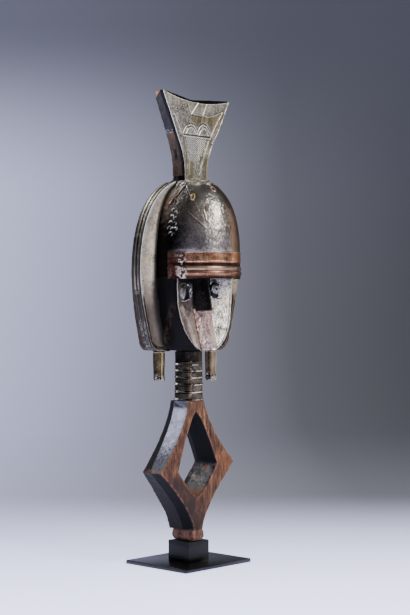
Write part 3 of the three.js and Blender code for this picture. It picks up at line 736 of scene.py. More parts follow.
def foreheadRelief(points):
    z = points[:, 2]
    angle = aroundDome(points)
    around = angle * turnMm
    bright = ease(1.3, 1.6, angle) * ease(2.25, 2.05, angle) * ease(372, 392, z) * ease(468, 452, z)
    height = forehead["dentDepth"] * layered(points, forehead["dentSize"], 1)
    height += 0.2 * layered(points, 7, 5) + 0.3 * layered(points, 26, 41)
    stamped = layered(points * (1, 1, 0.8), 4.2, 6)
    height += bright * (0.42 * np.abs(stamped) + 0.22 * softNoise(points, 2.2, 7))
    for count, (spot, level) in enumerate(forehead["curls"]):
        across, up = (around - spot * turnMm) * 0.62, z - level
        radius = forehead["curlRadius"]
        ring = bell(np.hypot(across * 1.25, up) - radius, 0.5)
        opened = ease(-0.6, 0.2, np.sin(np.arctan2(up, across) + 1.2 * math.sin(count * 1.9)))
        height += forehead["curlHeight"] * ring * opened
    crumpled = 1.7 * np.abs(layered(points, 7, 31)) + 0.9 * layered(points, 3, 33)
    height += ease(464, 474, z) * crumpled + 0.1 * softNoise(asPoints(around / 9, z / 9, 0), 1, 12)
    for path in forehead["seams"]:
        away = awayFromLine(around, z, unrolled(path))
        height += forehead["seamHeight"] * 0.8 * bell(away, 0.7) - 0.12 * bell(away - 1.6, 0.7)
    height += 0.7 * bell(awayFromLine(around, z, unrolled(forehead["foldedStrip"])), 1.8)
    return lerp(height, -0.4, ease(388, 385.5, z))


def foreheadTint(points):  # 0 plain, towards 1 reddish on the folded strip, -1 pale round the crest's root
    x, z = points[:, 0], points[:, 2]
    away = awayFromLine(aroundDome(points) * turnMm, z, unrolled(forehead["foldedStrip"]))
    broken = 0.45 + 0.55 * ease(-0.3, 0.3, layered(points, 5, 35))
    return bell(away, 3.2) - ease(465, 472, z) * ease(30, 20, np.abs(x)) * broken


foreheadSheet = meshSheet("forehead_hammered", forehead["columns"], forehead["rows"], placeForehead)
foreheadPoints = readPoints(foreheadSheet)
pushOut(foreheadSheet, foreheadRelief(foreheadPoints))
writeValues(foreheadSheet, "tint", foreheadTint(foreheadPoints))
finishSheet(foreheadSheet, forehead["wall"], 8)


def makeDarkMetal():
    finish, cloud, speck, edge, low = metal(
        "dark_hammered_metal", (22, 4, 0.6), (2.2, 5, 0.7), (0.0, 0.3), (-0.02, -0.3))
    flank = finish.x.between(6, 40) * (0.5 + cloud * 0.6)
    finish.colour = finish.mottle(speck * 0.5 + cloud * 0.5, (88, 81, 75), (132, 123, 116),
                                  (166, 158, 152), 0.1)
    # painted light: the top of the forehead paler
    upper = finish.z.between(440, 458) * finish.x.between(-34, -22)
    finish.cover(upper * 0.75, (190, 186, 180))
    # painted shade: the forehead darker towards the figure's right
    finish.cover(finish.x.between(-14, -24) * (1 - upper) * 0.3, (66, 60, 56))
    finish.cover(flank, (112, 74, 50))
    # painted shade: the far side towards the figure's right nearly black
    finish.cover(finish.x.between(-42, -54), (20, 17, 15))
    finish.cover(finish.value("tint").between(0.3, 0.8) * 0.8, (132, 84, 70))
    folded = finish.value("tint").between(-0.3, -0.8)
    crease = finish.noise(4, 5, 0.7).between(0.45, 0.56)
    finish.cover(folded, finish.mix(crease, (84, 78, 62), (226, 222, 204)))
    # painted highlights on raised edges, brightest on the curls, left out at the far side and the lower rim
    plain = finish.x.between(-56, -50) * finish.z.between(357, 361)
    curled = finish.x.between(-42, -46) * finish.z.between(402, 408)
    finish.cover(edge * (0.42 + curled * 0.58) * plain, (228, 225, 220))
    finish.cover(finish.x.between(-6, 10) * 0.75, (112, 78, 54))
    # painted shade in the hollows
    finish.cover(low * 0.75, (34, 28, 26))
    # painted shade along the lower edge, under the brow band
    finish.cover(finish.z.between(360, 356.5) * 0.9, (20, 17, 16))
    finish.bump((5, 4, 0.6), 0.5, 0.8)
    finish.bump((1.2, 4, 0.7), 0.22, 0.7)
    return finish.set(Metallic=1 - folded * 0.75, Roughness=0.22 + speck * 0.24 + low * 0.2)


settle(foreheadSheet, makeDarkMetal(), "dark_sheet", "forehead_sheet")
print("forehead made")


# Brow band: moulded copper, [share of its height, mm out from the forehead]

band = {
    "height": 33, "low": 353.8, "ends": (2.86, 0.4064), "columns": 270, "rows": 100, "outerRows": 0.9,
    "least": 0.03, "most": 1.7, "lining": 0.4, "crumpled": (2.64, 2.7), "crumple": 1.3, "wave": 0.25,
    "torn": 0.9,
    "profile": [(0, 0.1), (0.05, 0.25), (0.11, 0.5), (0.14, 1.0), (0.2, 1.7), (0.26, 1.45), (0.305, 0.4),
                (0.34, 1.15), (0.395, 1.5), (0.44, 1.05), (0.465, 0.2), (0.5, 0.03), (0.57, 0.03),
                (0.605, 0.35), (0.635, 0.95), (0.66, 0.7), (0.7, 0.66), (0.85, 0.7), (0.95, 0.75),
                (0.975, 1.2), (0.99, 1.15), (1.0, 0.35)],
}


def placeBand(u, v):
    shares, heights = zip(*band["profile"])
    outer = band["outerRows"]
    inside = np.clip((v - outer) / (1 - outer), 0, 1)
    share = np.where(inside > 0, 1 - inside, np.clip(v / outer, 0, 1))
    lining = lerp(band["lining"], band["least"], ease(0, 0.2, inside) * ease(1.0, 0.8, inside))
    out = np.where(inside > 0, lining, np.interp(share, shares, heights))
    out = np.where(inside >= 1, heights[0], out)
    angle = lerp(*band["ends"], u)
    around = angle * turnMm
    z = band["low"] + band["height"] * share
    rough = layered(asPoints(around, z, 0), 7, 61)
    folds = layered(asPoints(around / 3.4 + z / 8, z / 5 - around / 8, 0), 1, 63)
    end = ease(*band["crumpled"], angle)
    out = lerp(out, 0.35 + band["crumple"] * np.abs(folds), np.where(inside > 0, 0, end))
    torn = ease(0.16, 0.02, share) * ease(0.85, 2.2, angle)
    out = out + np.where(inside > 0, 0, 0.14 * rough * (1 - end) - 0.25 * torn * np.abs(rough))
    z = z + band["wave"] * layered(asPoints(around, 0, 0), 18, 62)
    z = z + band["torn"] * ease(0.2, 0, share) * np.maximum(layered(asPoints(around, 0, 0), 6, 64), 0)
    return domePlace(angle, z, np.clip(out, band["least"], band["most"]))


browBand = meshSheet("brow_band_copper", band["columns"], band["rows"], placeBand)
mergeDoubles(browBand, 0.01)
closeEnds(browBand)
finishShape(browBand)


def makeCopper():
    finish, cloud, speck, edge, low = metal(
        "worn_copper", (14, 4, 0.6), (1.8, 5, 0.7), (0.02, 0.3), (-0.02, -0.25))
    height = finish.z
    finish.colour = finish.mottle(speck * 0.45 + cloud * 0.55, (90, 60, 42), (144, 104, 76),
                                  (200, 158, 124), 0.1)
    finish.cover(finish.x.between(-10, 34) * 0.7, (170, 112, 72))
    finish.cover(height.within(363.3, 364.7, 368.7, 370.1) * 0.85, (138, 119, 102))
    finish.cover(finish.noise(9, 4, 0.65).between(0.52, 0.64) * 0.6, (92, 54, 40))
    # painted highlights on raised edges
    finish.cover(edge * 0.4, (236, 206, 182))
    finish.cover(height.between(363.5, 361.5) * 0.5, (92, 62, 46))
    # painted shade in the hollows
    finish.cover(low * 0.8, (46, 24, 18))
    # painted shade in the groove between the mouldings
    groove = height.within(368.9, 369.7, 372.9, 373.9)
    finish.cover(groove * 0.93, (44, 26, 19))
    # painted shade on the band's lower edge
    finish.cover(height.between(359, 356.5) * 0.85, (30, 18, 14))
    end = finish.x.between(-46, -48.5)
    folds = finish.noise(5, 4, 0.65, turn=(0, 0.5, 0)).between(0.47, 0.56)
    crumpled = finish.mix(folds, (48, 26, 18), (214, 196, 180))
    # painted shade: the crumpled end darker red-brown at its far end and darker towards its top
    crumpled = finish.mix(finish.x.between(-51, -54) * 0.9, crumpled, (56, 22, 14))
    crumpled = finish.mix(height.between(375, 380) * 0.6, crumpled, (44, 28, 20))
    finish.cover(end * 0.92, crumpled)
    finish.bump((4, 4, 0.6), 0.3, 0.6)
    finish.bump((1.1, 3, 0.7), 0.14, 0.6)
    return finish.set(Metallic=1 - end * 0.08,
                      Roughness=0.24 + speck * 0.24 + low * 0.2 + end * 0.35 + groove * 0.3)


settle(browBand, makeCopper(), "copper_band", "brow_band")
print("brow band made")


# Face: hollow cheeks, a copper strip down the chin, a folded nose and domed eyes

face = {
    "right": 11.5, "left": 19.0, "gap": 0.3, "wall": 0.8, "rimBead": 1.0, "rimWidth": 2.2,
    "foot": 0.02, "chinBulge": 2.4, "columns": 86, "rows": 172, "chinTop": 0.58, "chinLift": 0.35,
    "fold": [(-37, 318), (-27, 297), (-21.7, 284), (-19, 270)], "foldAt": 1.9, "foldEnd": 3.6,
    "chinColumns": 70, "chinRows": 112, "noseGrain": 0.65, "noseDent": 0.25,
}


def chinEdge(side, share):
    half, part = face["left"], 0.92
    if side < 0:
        half, part = lerp(8.0, face["right"], np.clip(share / 0.55, 0, 1)), 0.8
    return side * np.minimum(half, part * faceHalfWidth(share))


def makeCheek(side, name):
    def place(u, v):
        share = lerp(face["foot"], 0.9966, v ** 1.15)
        inner = chinEdge(side, share) + side * face["gap"]
        outer = side * (faceHalfWidth(share) - face["gap"])
        x = lerp(outer, inner, u) if side < 0 else lerp(inner, outer, u)
        return facePlace(x, share)

    piece = meshSheet(name, face["columns"], face["rows"], place)
    points = readPoints(piece)
    x, z = points[:, 0], points[:, 2]
    share = (z - head["base"]) / head["faceHeight"]
    fromRim = faceHalfWidth(share) - np.abs(x)
    height = 0.6 * layered(points, 9, 71) + 0.3 * layered(points, 3.4, 72)
    height += face["rimBead"] * bell(fromRim - 1.4, face["rimWidth"] / 2)
    if side < 0:
        seam = awayFromLine(x, z, face["fold"])
        height += 0.8 * bell(seam, 0.7) - 0.6 * bell(seam - face["foldAt"], 0.8)
        height += 0.6 * bell(seam - face["foldEnd"], 0.6)
    height -= 0.5 * ease(2.5, 0, np.abs(x - chinEdge(side, share)))
    pushOut(piece, height)
    return finishSheet(piece, face["wall"])


def placeChin(u, v):
    share = lerp(face["foot"], face["chinTop"], v)
    x = lerp(chinEdge(-1, share), chinEdge(1, share), u)
    bulge = face["chinBulge"] * (1 - (2 * u - 1) ** 2) * ease(0, 0.12, share)
    return facePlace(x, share, face["chinLift"] + bulge)


def makeCheekMetal():
    finish, cloud, speck, edge, low = metal(
        "cheek_silver", (16, 4, 0.65), (2.4, 6, 0.75), (0.03, 0.35), (-0.03, -0.3))
    left = finish.x.between(-8, 8)
    silver = finish.ramp(speck * 0.6 + cloud * 0.4, (0.43, (104, 100, 90)), (0.48, (204, 198, 188)),
                         (0.53, (250, 247, 242)))
    silver = finish.mix(finish.z.between(306, 330) * 0.6, silver, (214, 200, 168))
    beige = finish.mottle(speck * 0.5 + cloud * 0.5, (70, 60, 50), (110, 97, 84), (156, 138, 124))
    finish.colour = finish.mix(left, beige, silver)
    finish.cover(finish.x.within(-31, -22, -12, -8) * 0.7, (168, 148, 142))
    finish.cover(cloud.between(0.5, 0.64) * 0.5, (112, 104, 84))
    spots = finish.noise(3.6, 5, 0.75).between(0.54, 0.6)
    finish.cover(spots * 0.7, (70, 64, 55))
    # painted shadow of the brow band across the top of the cheeks, with a ragged lower edge
    ragged = finish.z + (finish.noise(6, 4, 0.6) - 0.5) * 12 - finish.x.between(16, 24) * 5
    finish.cover(ragged.between(344, 350) * 0.92, (14, 12, 10))
    # painted highlights on raised edges
    finish.cover(edge * 0.4, (238, 234, 226))
    # painted shade in the hollows
    finish.cover(low * 0.8, (44, 38, 32))
    finish.bump((3.4, 5, 0.65), 0.6, 0.8)
    finish.bump((1.0, 4, 0.7), 0.2, 0.7)
    return finish.set(Roughness=0.3 + speck * 0.3)


def makePinkCopper():
    finish, cloud, speck, edge, low = metal(
        "pink_copper", (12, 4, 0.6, (1, 1, 0.5)), (1.8, 5, 0.7), (0.03, 0.35), (-0.03, -0.3))
    finish.colour = finish.mottle(speck * 0.4 + cloud * 0.6, (140, 112, 106), (194, 168, 163),
                                  (232, 214, 211))
    # painted shade: darker reddish-brown towards the figure's right, with a redder tone there
    finish.cover(finish.x.between(-3, -10) * 0.5, (134, 96, 84))
    finish.cover(cloud.between(0.55, 0.68) * 0.4, (140, 128, 124))
    finish.cover(finish.noise(4, 5, 0.7).between(0.5, 0.62) * 0.45, (132, 98, 88))
    # painted highlights on raised edges
    finish.cover(edge * 0.25, (240, 218, 208))
    # painted shade in the hollows
    finish.cover(low * 0.8, (60, 38, 32))
    finish.bump((5, 4, 0.6), 0.7, 0.8)
    finish.bump((1.1, 3, 0.7), 0.16, 0.6)
    return finish.set(Roughness=0.24 + speck * 0.24)


cheekMetal = makeCheekMetal()
for side, hand in hands:
    settle(makeCheek(side, f"cheek_{hand}_hollow"), cheekMetal, "pale_sheet", f"cheek_sheet_{hand}")

chinStrip = meshSheet("chin_strip_copper", face["chinColumns"], face["chinRows"], placeChin)
points = readPoints(chinStrip)
dents = 0.5 * layered(points, 10, 81) + hammered(points, 6, 0.3, 82)
pushOut(chinStrip, dents + 0.5 * bell(points[:, 2] - 267.5, 1.5))
finishSheet(chinStrip, face["wall"])
settle(chinStrip, makePinkCopper(), "pink_copper", "mouth_strip")


def refinedNode(node, name, voxel, dent, seed, smoothing=2):
    piece = copyOfNode(node, name)
    remesh(piece, voxel, smoothing)
    points = readPoints(piece)
    pushOut(piece, hammered(points, 6, dent, seed) + dent * 0.6 * layered(points, 8, seed + 1))
    return finishShape(piece, angle=60)


def makeNoseMetal():
    finish = Finish("nose_metal", Metallic=0.9)
    speck = finish.noise(2, 5, 0.7)
    edge = finish.value("edge").between(0.12, 0.5)
    # nearly black: a dark metal, darkened further as painted shade
    finish.colour = finish.ramp(speck, (0.35, (26, 23, 21)), (0.65, (58, 52, 47)))
    # painted highlights on the folded edges
    finish.cover(edge * 0.5, (170, 164, 154))
    finish.bump((3, 4, 0.6), 0.3, 0.6)
    return finish.set(Roughness=0.36 + speck * 0.2)


nose = refinedNode("nose_sheet", "nose_folded", face["noseGrain"], face["noseDent"], 91)
settle(nose, makeNoseMetal(), "dark_sheet", "nose_sheet")

eyes = {
    "across": {-1: -31.5, 1: 29.5}, "drop": 16.5, "uneven": 3, "radius": 12, "height": {-1: 5.2, 1: 4.4},
    "lean": {-1: 0, 1: 0.3}, "wide": {-1: 1.16, 1: 1.04}, "boss": {-1: 9.8, 1: 7.0}, "rim": 1.6,
    "breakAt": {-1: -0.6, 1: 11.5}, "aside": {-1: 0, 1: -4.0}, "hole": (4.6, 2.4),
    "columns": 110, "rows": 70, "rimAt": 11.0, "lipAt": 9.9, "holeDepth": 2.6, "skirt": 3.4,
}


def holeAt(inward, up):
    return bell(np.hypot(inward - eyes["hole"][0], up - eyes["hole"][1]), 1.5)


def makeEye(side, name):  # a round boss with a rolled rim, broken open towards the nose
    left = max(side, 0)
    share = 1 - eyes["drop"] / head["faceHeight"]
    x = eyes["across"][side]
    slope = (facePlace(x + 2, share)[1] - facePlace(x - 2, share)[1]) / 4
    lean = math.atan(slope) * eyes["lean"][side]
    seat = facePlace(x, share, 0.2) + np.array((0, 0, side * eyes["uneven"] / 2))

    def place(u, v):
        radius = eyes["radius"] * (1 - v)
        turn = u * 2 * np.pi
        inward = -side * radius * np.cos(turn)
        up = radius * np.sin(turn)
        rough = softNoise(asPoints(inward, up, side), 2.2, 95)
        whole = ease(eyes["breakAt"][side] + 0.9, eyes["breakAt"][side] - 0.9, inward + rough - 0.12 * up)
        reach = np.hypot(inward + side * eyes["aside"][side], up - left * 1.5)
        rim = eyes["rim"] * bell(radius - eyes["rimAt"], 0.6) + 0.3 * bell(radius - eyes["lipAt"], 0.4)
        boss = eyes["height"][side] * np.clip(1 - (reach / eyes["boss"][side]) ** 2, 0, 1) ** 0.55
        boss -= left * eyes["holeDepth"] * holeAt(inward, up)
        torn = (1 - whole) * ease(7.5, 9.0, radius) * ease(11.6, 10.4, radius) * (1.4 + 1.4 * rough)
        skirt = -eyes["skirt"] * ease(11.4, 12, radius) - 0.4 * bell(radius - 9.2, 0.5)
        height = rim * lerp(0.4, 1, whole) + boss * whole + torn + skirt
        wobble = 1 + 0.05 * softNoise(asPoints(np.cos(turn), np.sin(turn), side), 0.9, 95)
        return asPoints(radius * wobble * np.cos(turn) * eyes["wide"][side], -height, up)

    piece = meshSheet(name, eyes["columns"], eyes["rows"], place)
    mergeDoubles(piece, 0.03)
    closeEnds(piece)
    points = readPoints(piece)
    x, y, z = points.T
    inward = -side * x / eyes["wide"][side]
    reach = 10.8 + 1.8 * ease(2, 7, inward) * left
    # where the boss is broken open, and the left eye's hole, which take painted shade
    pit = ease(-2.6, -1.4, y) * ease(reach, reach - 1, np.hypot(inward, z))
    pit *= 1 - (1 - left) * ease(7.4, 8.8, inward)
    writeValues(piece, "pit", np.maximum(pit, left * holeAt(inward, z)))
    pushOut(piece, 0.2 * layered(points, 3.5, 97 + side))
    turned = readPoints(piece) @ np.array(Matrix.Rotation(lean, 3, "Z")).T
    writePoints(piece, turned + seat)
    return finishShape(piece)


def makeEyeMetal():
    finish = Finish("eye_metal", Metallic=0.55)
    speck = finish.noise(1.8, 5, 0.7)
    edge, low = finish.edges((0.02, 0.3), (0.0, -0.25))
    finish.colour = finish.mottle(speck, (70, 66, 60), (124, 118, 109), (188, 182, 171), 0.1)
    finish.cover(finish.x.between(-30, -34) * 0.6, (62, 60, 58))
    # painted highlights on raised edges
    finish.cover(edge * 0.6, (226, 224, 216))
    # painted shade in the hollows
    finish.cover(low * 0.85, (16, 13, 12))
    # painted shade in the broken sockets and the hole
    finish.cover(finish.value("pit").between(0.3, 0.7), (6, 5, 5))
    finish.bump((2.2, 4, 0.65), 0.35, 0.7)
    return finish.set(Roughness=0.26 + speck * 0.22)


eyeMetal = makeEyeMetal()
for side, hand in hands:
    settle(makeEye(side, f"eye_{hand}_domed"), eyeMetal, "dark_sheet", f"eye_boss_{hand}")
print("face made")


# Coiffure plate: pale front sheets and the strips nailed round its edge

plate = {
    "width": 177.0, "foot": 145.0, "top": 479.3, "widest": 360.3, "base": 264.6, "corner": 15.0,
    "footRise": 3.0, "footFlat": 22.0, "columns": 230, "rows": 62, "wall": 0.8,
    "profile": [(0.5, -2.5), (0.3, -3.2), (0.7, -3.8), (1.4, -4.1), (2.1, -3.7), (2.7, -2.4), (3.5, -2.1),
                (7.0, -1.3), (13.2, -0.4), (22.0, -0.9), (30.0, -2.0), (60.0, -2.2)],
    "filled": [0, 0, 0, 0, -0.3, -1.4, -1.3, -0.5, 0, 0, 0, 0],
    "stripInset": 0.55, "stripFront": -1.2, "stripBack": 8.9, "joints": (2.0, 7.7, 10.9, 16.2),
    "stripColumns": 36, "joint": 0.02, "end": 17.9, "rolled": 7, "rolledShare": 0.24, "limits": (88, -6, 4),
    "pits": [(-84.4, 432.6), (-85.2, 384.6), (-70, 300), (70, 420), (76, 330)],
}
plateMiddle = lerp(plate["base"], plate["widest"], 0.9)


def plateEdge(t):
    half, foot = plate["width"] / 2, plate["foot"] / 2
    shoulder = plate["base"] + plate["corner"] + plate["footRise"]
    angle = np.pi / 2 * (1 - np.clip(t, 0, 10) / 10)
    power = 2 / 2.25
    x = half * np.maximum(np.cos(angle), 0) ** power
    z = plate["widest"] + (plate["top"] - plate["widest"]) * np.maximum(np.sin(angle), 0) ** power
    flank = np.clip((t - 10) / 3, 0, 1)
    x = np.where(t > 10, lerp(half, foot, flank ** 1.6), x)
    z = np.where(t > 10, lerp(plate["widest"], shoulder, flank), z)
    part = np.clip((t - 13) / 4, 0, 1)
    turn = np.pi / 2 * part
    x = np.where(t > 13, foot - plate["corner"] * (1 - np.cos(turn)) - plate["footRise"] * part, x)
    z = np.where(t > 13, shoulder - (plate["corner"] + plate["footRise"]) * np.sin(turn), z)
    flat = np.clip(t - 17, 0, 1)
    x = x - np.where(t > 17, flat * (plate["footFlat"] - plate["footRise"]), 0)
    return x, z


def platePlace(t, side, inset, y):
    x, z = plateEdge(t)
    scale = np.maximum(0.02, 1 - inset / np.hypot(x, z - plateMiddle))
    return asPoints(side * x * scale, y, plateMiddle + (z - plateMiddle) * scale)


def headSide(z):
    share = np.clip((z - head["base"]) / head["faceHeight"], 0, 1)
    side = np.where(z > head["brow"], domeHalfWidth(z), jawHalfWidth(share))
    return np.maximum(side, np.where(z > 470, 19.0, 16.0)) + 0.4


def insideHead(t, inset):
    points = platePlace(t, 1, inset, 0)
    return points[:, 0] < headSide(points[:, 2])


def smoothCurve(values, stops):
    xs, ys = (np.array(column, dtype=float) for column in zip(*stops))
    slopes = np.gradient(ys, xs)
    i = np.clip(np.searchsorted(xs, values) - 1, 0, len(xs) - 2)
    wide = xs[i + 1] - xs[i]
    s = np.clip((values - xs[i]) / wide, 0, 1)
    first = (1 + 2 * s) * (1 - s) ** 2 * ys[i] + s * (1 - s) ** 2 * wide * slopes[i]
    return first + s * s * (3 - 2 * s) * ys[i + 1] + s * s * (s - 1) * wide * slopes[i + 1]


def frontReach():  # how far in from the edge the front sheet reaches before it meets the head
    ts = np.linspace(0, 18, 721)
    reach = np.zeros_like(ts)
    clear = np.ones_like(ts, dtype=bool)
    for inset in np.linspace(0.5, 46, 183):
        clear &= ~insideHead(ts, inset)
        reach = np.where(clear, inset, reach)
    return ts, reach


reachSteps, reachValues = frontReach()
firstOpen = reachSteps[np.argmax(reachValues > 4.5)]


def nearEdge(x, z):  # mm in from the plate's outline
    edgeX, edgeZ = plateEdge(np.linspace(0, 18, 400))
    return awayFromLine(np.abs(x), z, list(zip(edgeX, edgeZ)))


def makeFrontSheet(side, name):  # its first rows make the rolled rim, the others run in to the head
    rolled, rim = plate["rolled"], plate["rolledShare"]
    insets, depths = zip(*plate["profile"])
    last = insets[rolled - 1]

    def place(u, v):
        t = lerp(plate["end"], firstOpen, u) if side < 0 else lerp(firstOpen, plate["end"], u)
        reach = np.maximum(np.interp(t, reachSteps, reachValues), last + 0.05)
        along = (1 - v) ** 1.2
        step = np.clip(along / rim, 0, 1) * (rolled - 1)

        def onSheet(values, inward):
            return np.where(along < rim, np.interp(step, range(rolled), values[:rolled]), inward)

        inset = onSheet(insets, lerp(last, reach, (along - rim) / (1 - rim)))
        y = onSheet(depths, smoothCurve(inset, plate["profile"][rolled - 2:]))
        fill = plate["filled"]
        filled = onSheet(fill, np.interp(inset, insets[rolled - 1:], fill[rolled - 1:]))
        return platePlace(t, side, inset, y + filled * ease(325, 345, plateEdge(t)[1]))

    piece = meshSheet(name, plate["columns"], plate["rows"], place)
    flipIf(piece, readNormals(piece)[:, 1].mean() > 0)
    points = readPoints(piece)
    x, y, z = points.T
    flat = points * (1, 0, 1)
    height = 0.28 * layered(flat, 22, 101) + 0.1 * hammered(flat, 8, 1, 102)
    for pitX, pitZ in plate["pits"]:
        height -= 0.5 * bell(np.hypot(x - pitX, z - pitZ), 1.1)
    pushOut(piece, height)
    writeValues(piece, "shade", ease(lerp(13, 6.5, ease(300, 380, z)), 1.5, np.abs(x) - headSide(z)))
    fromEdge = nearEdge(x, z)
    # the band along the rolled rim that takes a painted highlight
    writeValues(piece, "rim", ease(8.5, 4.5, fromEdge) * ease(290, 330, z))
    # the outermost edge of the rolled rim, which takes painted shade
    writeValues(piece, "under", ease(1.3, 0.7, fromEdge))
    thicken(piece, plate["wall"])
    wide, front, back = plate["limits"]
    lowest, highest = (-wide, front, plate["base"] - 5), (wide, back, plate["top"])
    writePoints(piece, np.clip(readPoints(piece), lowest, highest))
    turnOutward(piece)
    return finishShape(piece, 8)


def makeStrip(side, name, start, end, seed):
    def place(u, v):
        y = lerp(plate["stripFront"], plate["stripBack"], u if side > 0 else 1 - u)
        return platePlace(lerp(end, start, v), side, plate["stripInset"], y)

    piece = meshSheet(name, plate["stripColumns"], int(8 + (end - start) * 20), place)
    flipIf(piece, (readNormals(piece)[:, 0] * side).mean() < 0)
    points = readPoints(piece)
    x, y, z = points.T
    plain = ease(0, 0.4, start - plate["joints"][2] + 0.3)
    height = 0.3 * ease(4.4, 4.9, y) * ease(8.6, 8.0, y) - 0.35 * bell(y - 4.0, 0.5)
    hatch = np.sin((z + 0.4 * np.abs(x) + np.abs(y - 1.2) * 1.2) * 2 * np.pi / 2.4)
    panel = ease(-0.7, -0.2, y) * ease(3.5, 3.0, y) * (1 - plain)
    height += 0.15 * hatch * panel + 0.15 * layered(points, 9, seed)
    height += plain * ease(306, 300, z) * (0.5 * layered(points, 3.4, 55) - 0.2)
    pushOut(piece, np.minimum(height, 0.42))
    return finishSheet(piece, plate["wall"], 5)


def makePaleSheet():
    finish, cloud, speck, edge, low = metal(
        "pale_sheet_metal", (34, 4, 0.6), (2.6, 6, 0.72), (0.02, 0.3), (-0.02, -0.25),
        metallic=0.65, Specular_IOR_Level=0.4)
    height = finish.z
    finish.colour = finish.mottle(speck * 0.45 + cloud * 0.55, (122, 116, 104), (184, 172, 154),
                                  (222, 204, 182))
    stain = finish.noise(11, 5, 0.7).between(0.51, 0.62)
    finish.cover(stain * 0.5, (176, 146, 118))
    seam = height.within(379, 380.5, 381.5, 383) * finish.x.between(-64, -68)
    finish.cover(seam * 0.7, (196, 176, 110))
    olive = finish.x.between(20, 30) * height.between(400, 380)
    finish.cover(olive * 0.75, (124, 110, 76))
    # painted shade: darker lower down, where the light falls off
    finish.cover(height.between(368, 312) * 0.92, (90, 80, 69))
    # painted highlight, broken, on the rolled rim of the wing on the figure's right
    rim = finish.value("rim") * height.between(305, 345) * finish.x.between(16, 4)
    rim = rim * finish.noise(7, 4, 0.65).between(0.36, 0.54)
    finish.cover(rim * 0.8, (212, 210, 202))
    # painted highlights on raised edges
    finish.cover(edge * 0.4, (230, 226, 218))
    # painted shade in the hollows
    finish.cover(low * 0.8, (40, 34, 30))
    # painted shade under the rolled rim
    finish.cover(finish.value("under") * 0.9, (18, 15, 13))
    finish.cover(finish.value("shade") * 0.97, (8, 7, 6))
    pits = finish.cells(5.2).between(0.1, 0.03) * finish.noise(9, 2).between(0.5, 0.56)
    finish.cover(pits * 0.6, (50, 42, 36))
    finish.bump((9, 4, 0.6), 0.3, 0.7)
    finish.bump((1.0, 4, 0.7), 0.1, 0.6)
    return finish.set(Roughness=0.42 + speck * 0.16 + stain * 0.1)


def makeStripBrass():
    finish, cloud, speck, edge, low = metal(
        "strip_brass", (14, 4, 0.6), (1.8, 5, 0.7), (0.02, 0.18), (0.0, -0.15))
    height = finish.z
    finish.colour = finish.mottle(speck * 0.5 + cloud * 0.5, (50, 44, 32), (86, 79, 61), (128, 120, 97))
    # painted light: the strips paler high up, as lit from above, and darker lower down
    finish.cover(height.between(400, 440) * 0.45, (132, 126, 118))
    finish.cover(height.between(410, 398) * 0.4, (54, 44, 30))
    lower = height.between(340.5, 339.5)
    finish.cover(lower, (56, 52, 46))
    depth = finish.y
    lines = depth.within(1.9, 2.3, 4.0, 4.4).most(depth.between(7.6, 8.2))
    # painted highlights along two bands of each strip, stronger higher up
    bright = depth.within(4.6, 5.0, 6.4, 7.0).most(depth.within(-0.7, -0.3, 1.2, 1.7))
    broken = 0.45 + height.between(385, 425) * 0.45
    finish.cover(bright * broken * (1 - lower), (216, 206, 186))
    finish.cover(lines * 0.9 * (1 - lower), (14, 11, 9))
    mottled = lower * height.between(306, 300) * finish.noise(2.6, 4, 0.75).between(0.5, 0.56)
    finish.cover(mottled * 0.6, (150, 146, 130))
    # painted highlights on raised edges
    finish.cover(edge * 0.55 * (1 - lower * 0.6), (206, 198, 172))
    # painted shade in the hollows
    finish.cover(low * 0.85, (16, 13, 10))
    finish.bump((3, 4, 0.6), 0.25, 0.7)
    return finish.set(Roughness=0.3 + speck * 0.25)


paleSheet = makePaleSheet()
stripBrass = makeStripBrass()
for side, hand in hands:
    settle(makeFrontSheet(side, f"plate_front_{hand}"), paleSheet, "pale_sheet", f"coiffure_sheet_{hand}")
    for count, place in enumerate(("upper", "middle", "lower")):
        start, end = plate["joints"][count:count + 2]
        strip = makeStrip(side, f"plate_strip_{place}_{hand}", start + plate["joint"], end, 110 + count)
        settle(strip, stripBrass, "brass_strip", f"edge_strip_{place}_{hand}")
print("coiffure plate made")


# Neck: brass strip wound round it, under a plain collar

neck = {
    "half": 13.55, "power": 3.4, "base": 203.6, "top": 264.0, "collar": 251.5, "bead": 1.0, "columns": 116,
    "rows": 168, "wall": 1.0, "beads": [194.5, 204.6, 214.4, 223.6, 232.3, 240.7, 248.4, 256.0],
    "lines": (0.08, 0.22, 0.78, 0.92), "grooves": (0.34, 0.66),
}


def isWound(z):
    return ease(neck["collar"] + 0.8, neck["collar"] - 0.8, z)


def neckLap(angle, z):  # 0 to 1 across each turn of the strip
    turns = np.interp(z - 0.8 * np.sin(angle + 0.6), neck["beads"], range(len(neck["beads"])))
    return turns + 0.5 - np.floor(turns + 0.5)


def placeNeck(u, v):
    angle = (u - 0.25) * 2 * np.pi
    z = lerp(neck["base"], neck["top"], v)
    lap = neckLap(angle, z)
    wound = isWound(z)
    lines = sum(bell(lap - spot, 0.035) for spot in neck["lines"])
    grooves = sum(bell(lap - spot, 0.04) for spot in neck["grooves"])
    out = 1.0 + 0.4 * ease(230, neck["base"], z)
    out += wound * (neck["bead"] * bell(lap - 0.5, 0.115) + 0.22 * lines - 0.4 * grooves + 0.15)
    c, s = np.cos(angle), np.sin(angle)
    around = asPoints(c * 16, s * 16, z)
    out += 0.2 * layered(around, 8, 121) + (1 - wound) * 0.3 * softNoise(around * (1, 1, 0.2), 4, 122)
    x, y = (np.sign(t) * np.abs(t) ** (2 / neck["power"]) * (neck["half"] + out) for t in (c, s))
    return asPoints(x, y, z)


winding = meshSheet("neck_wound_strip", neck["columns"], neck["rows"], placeNeck)
closeSeam(winding)
x, y, z = readPoints(winding).T
writeValues(winding, "ridge", bell(neckLap(np.arctan2(y, x), z) - 0.5, 0.21) * isWound(z))
thicken(winding, neck["wall"])
finishShape(winding)


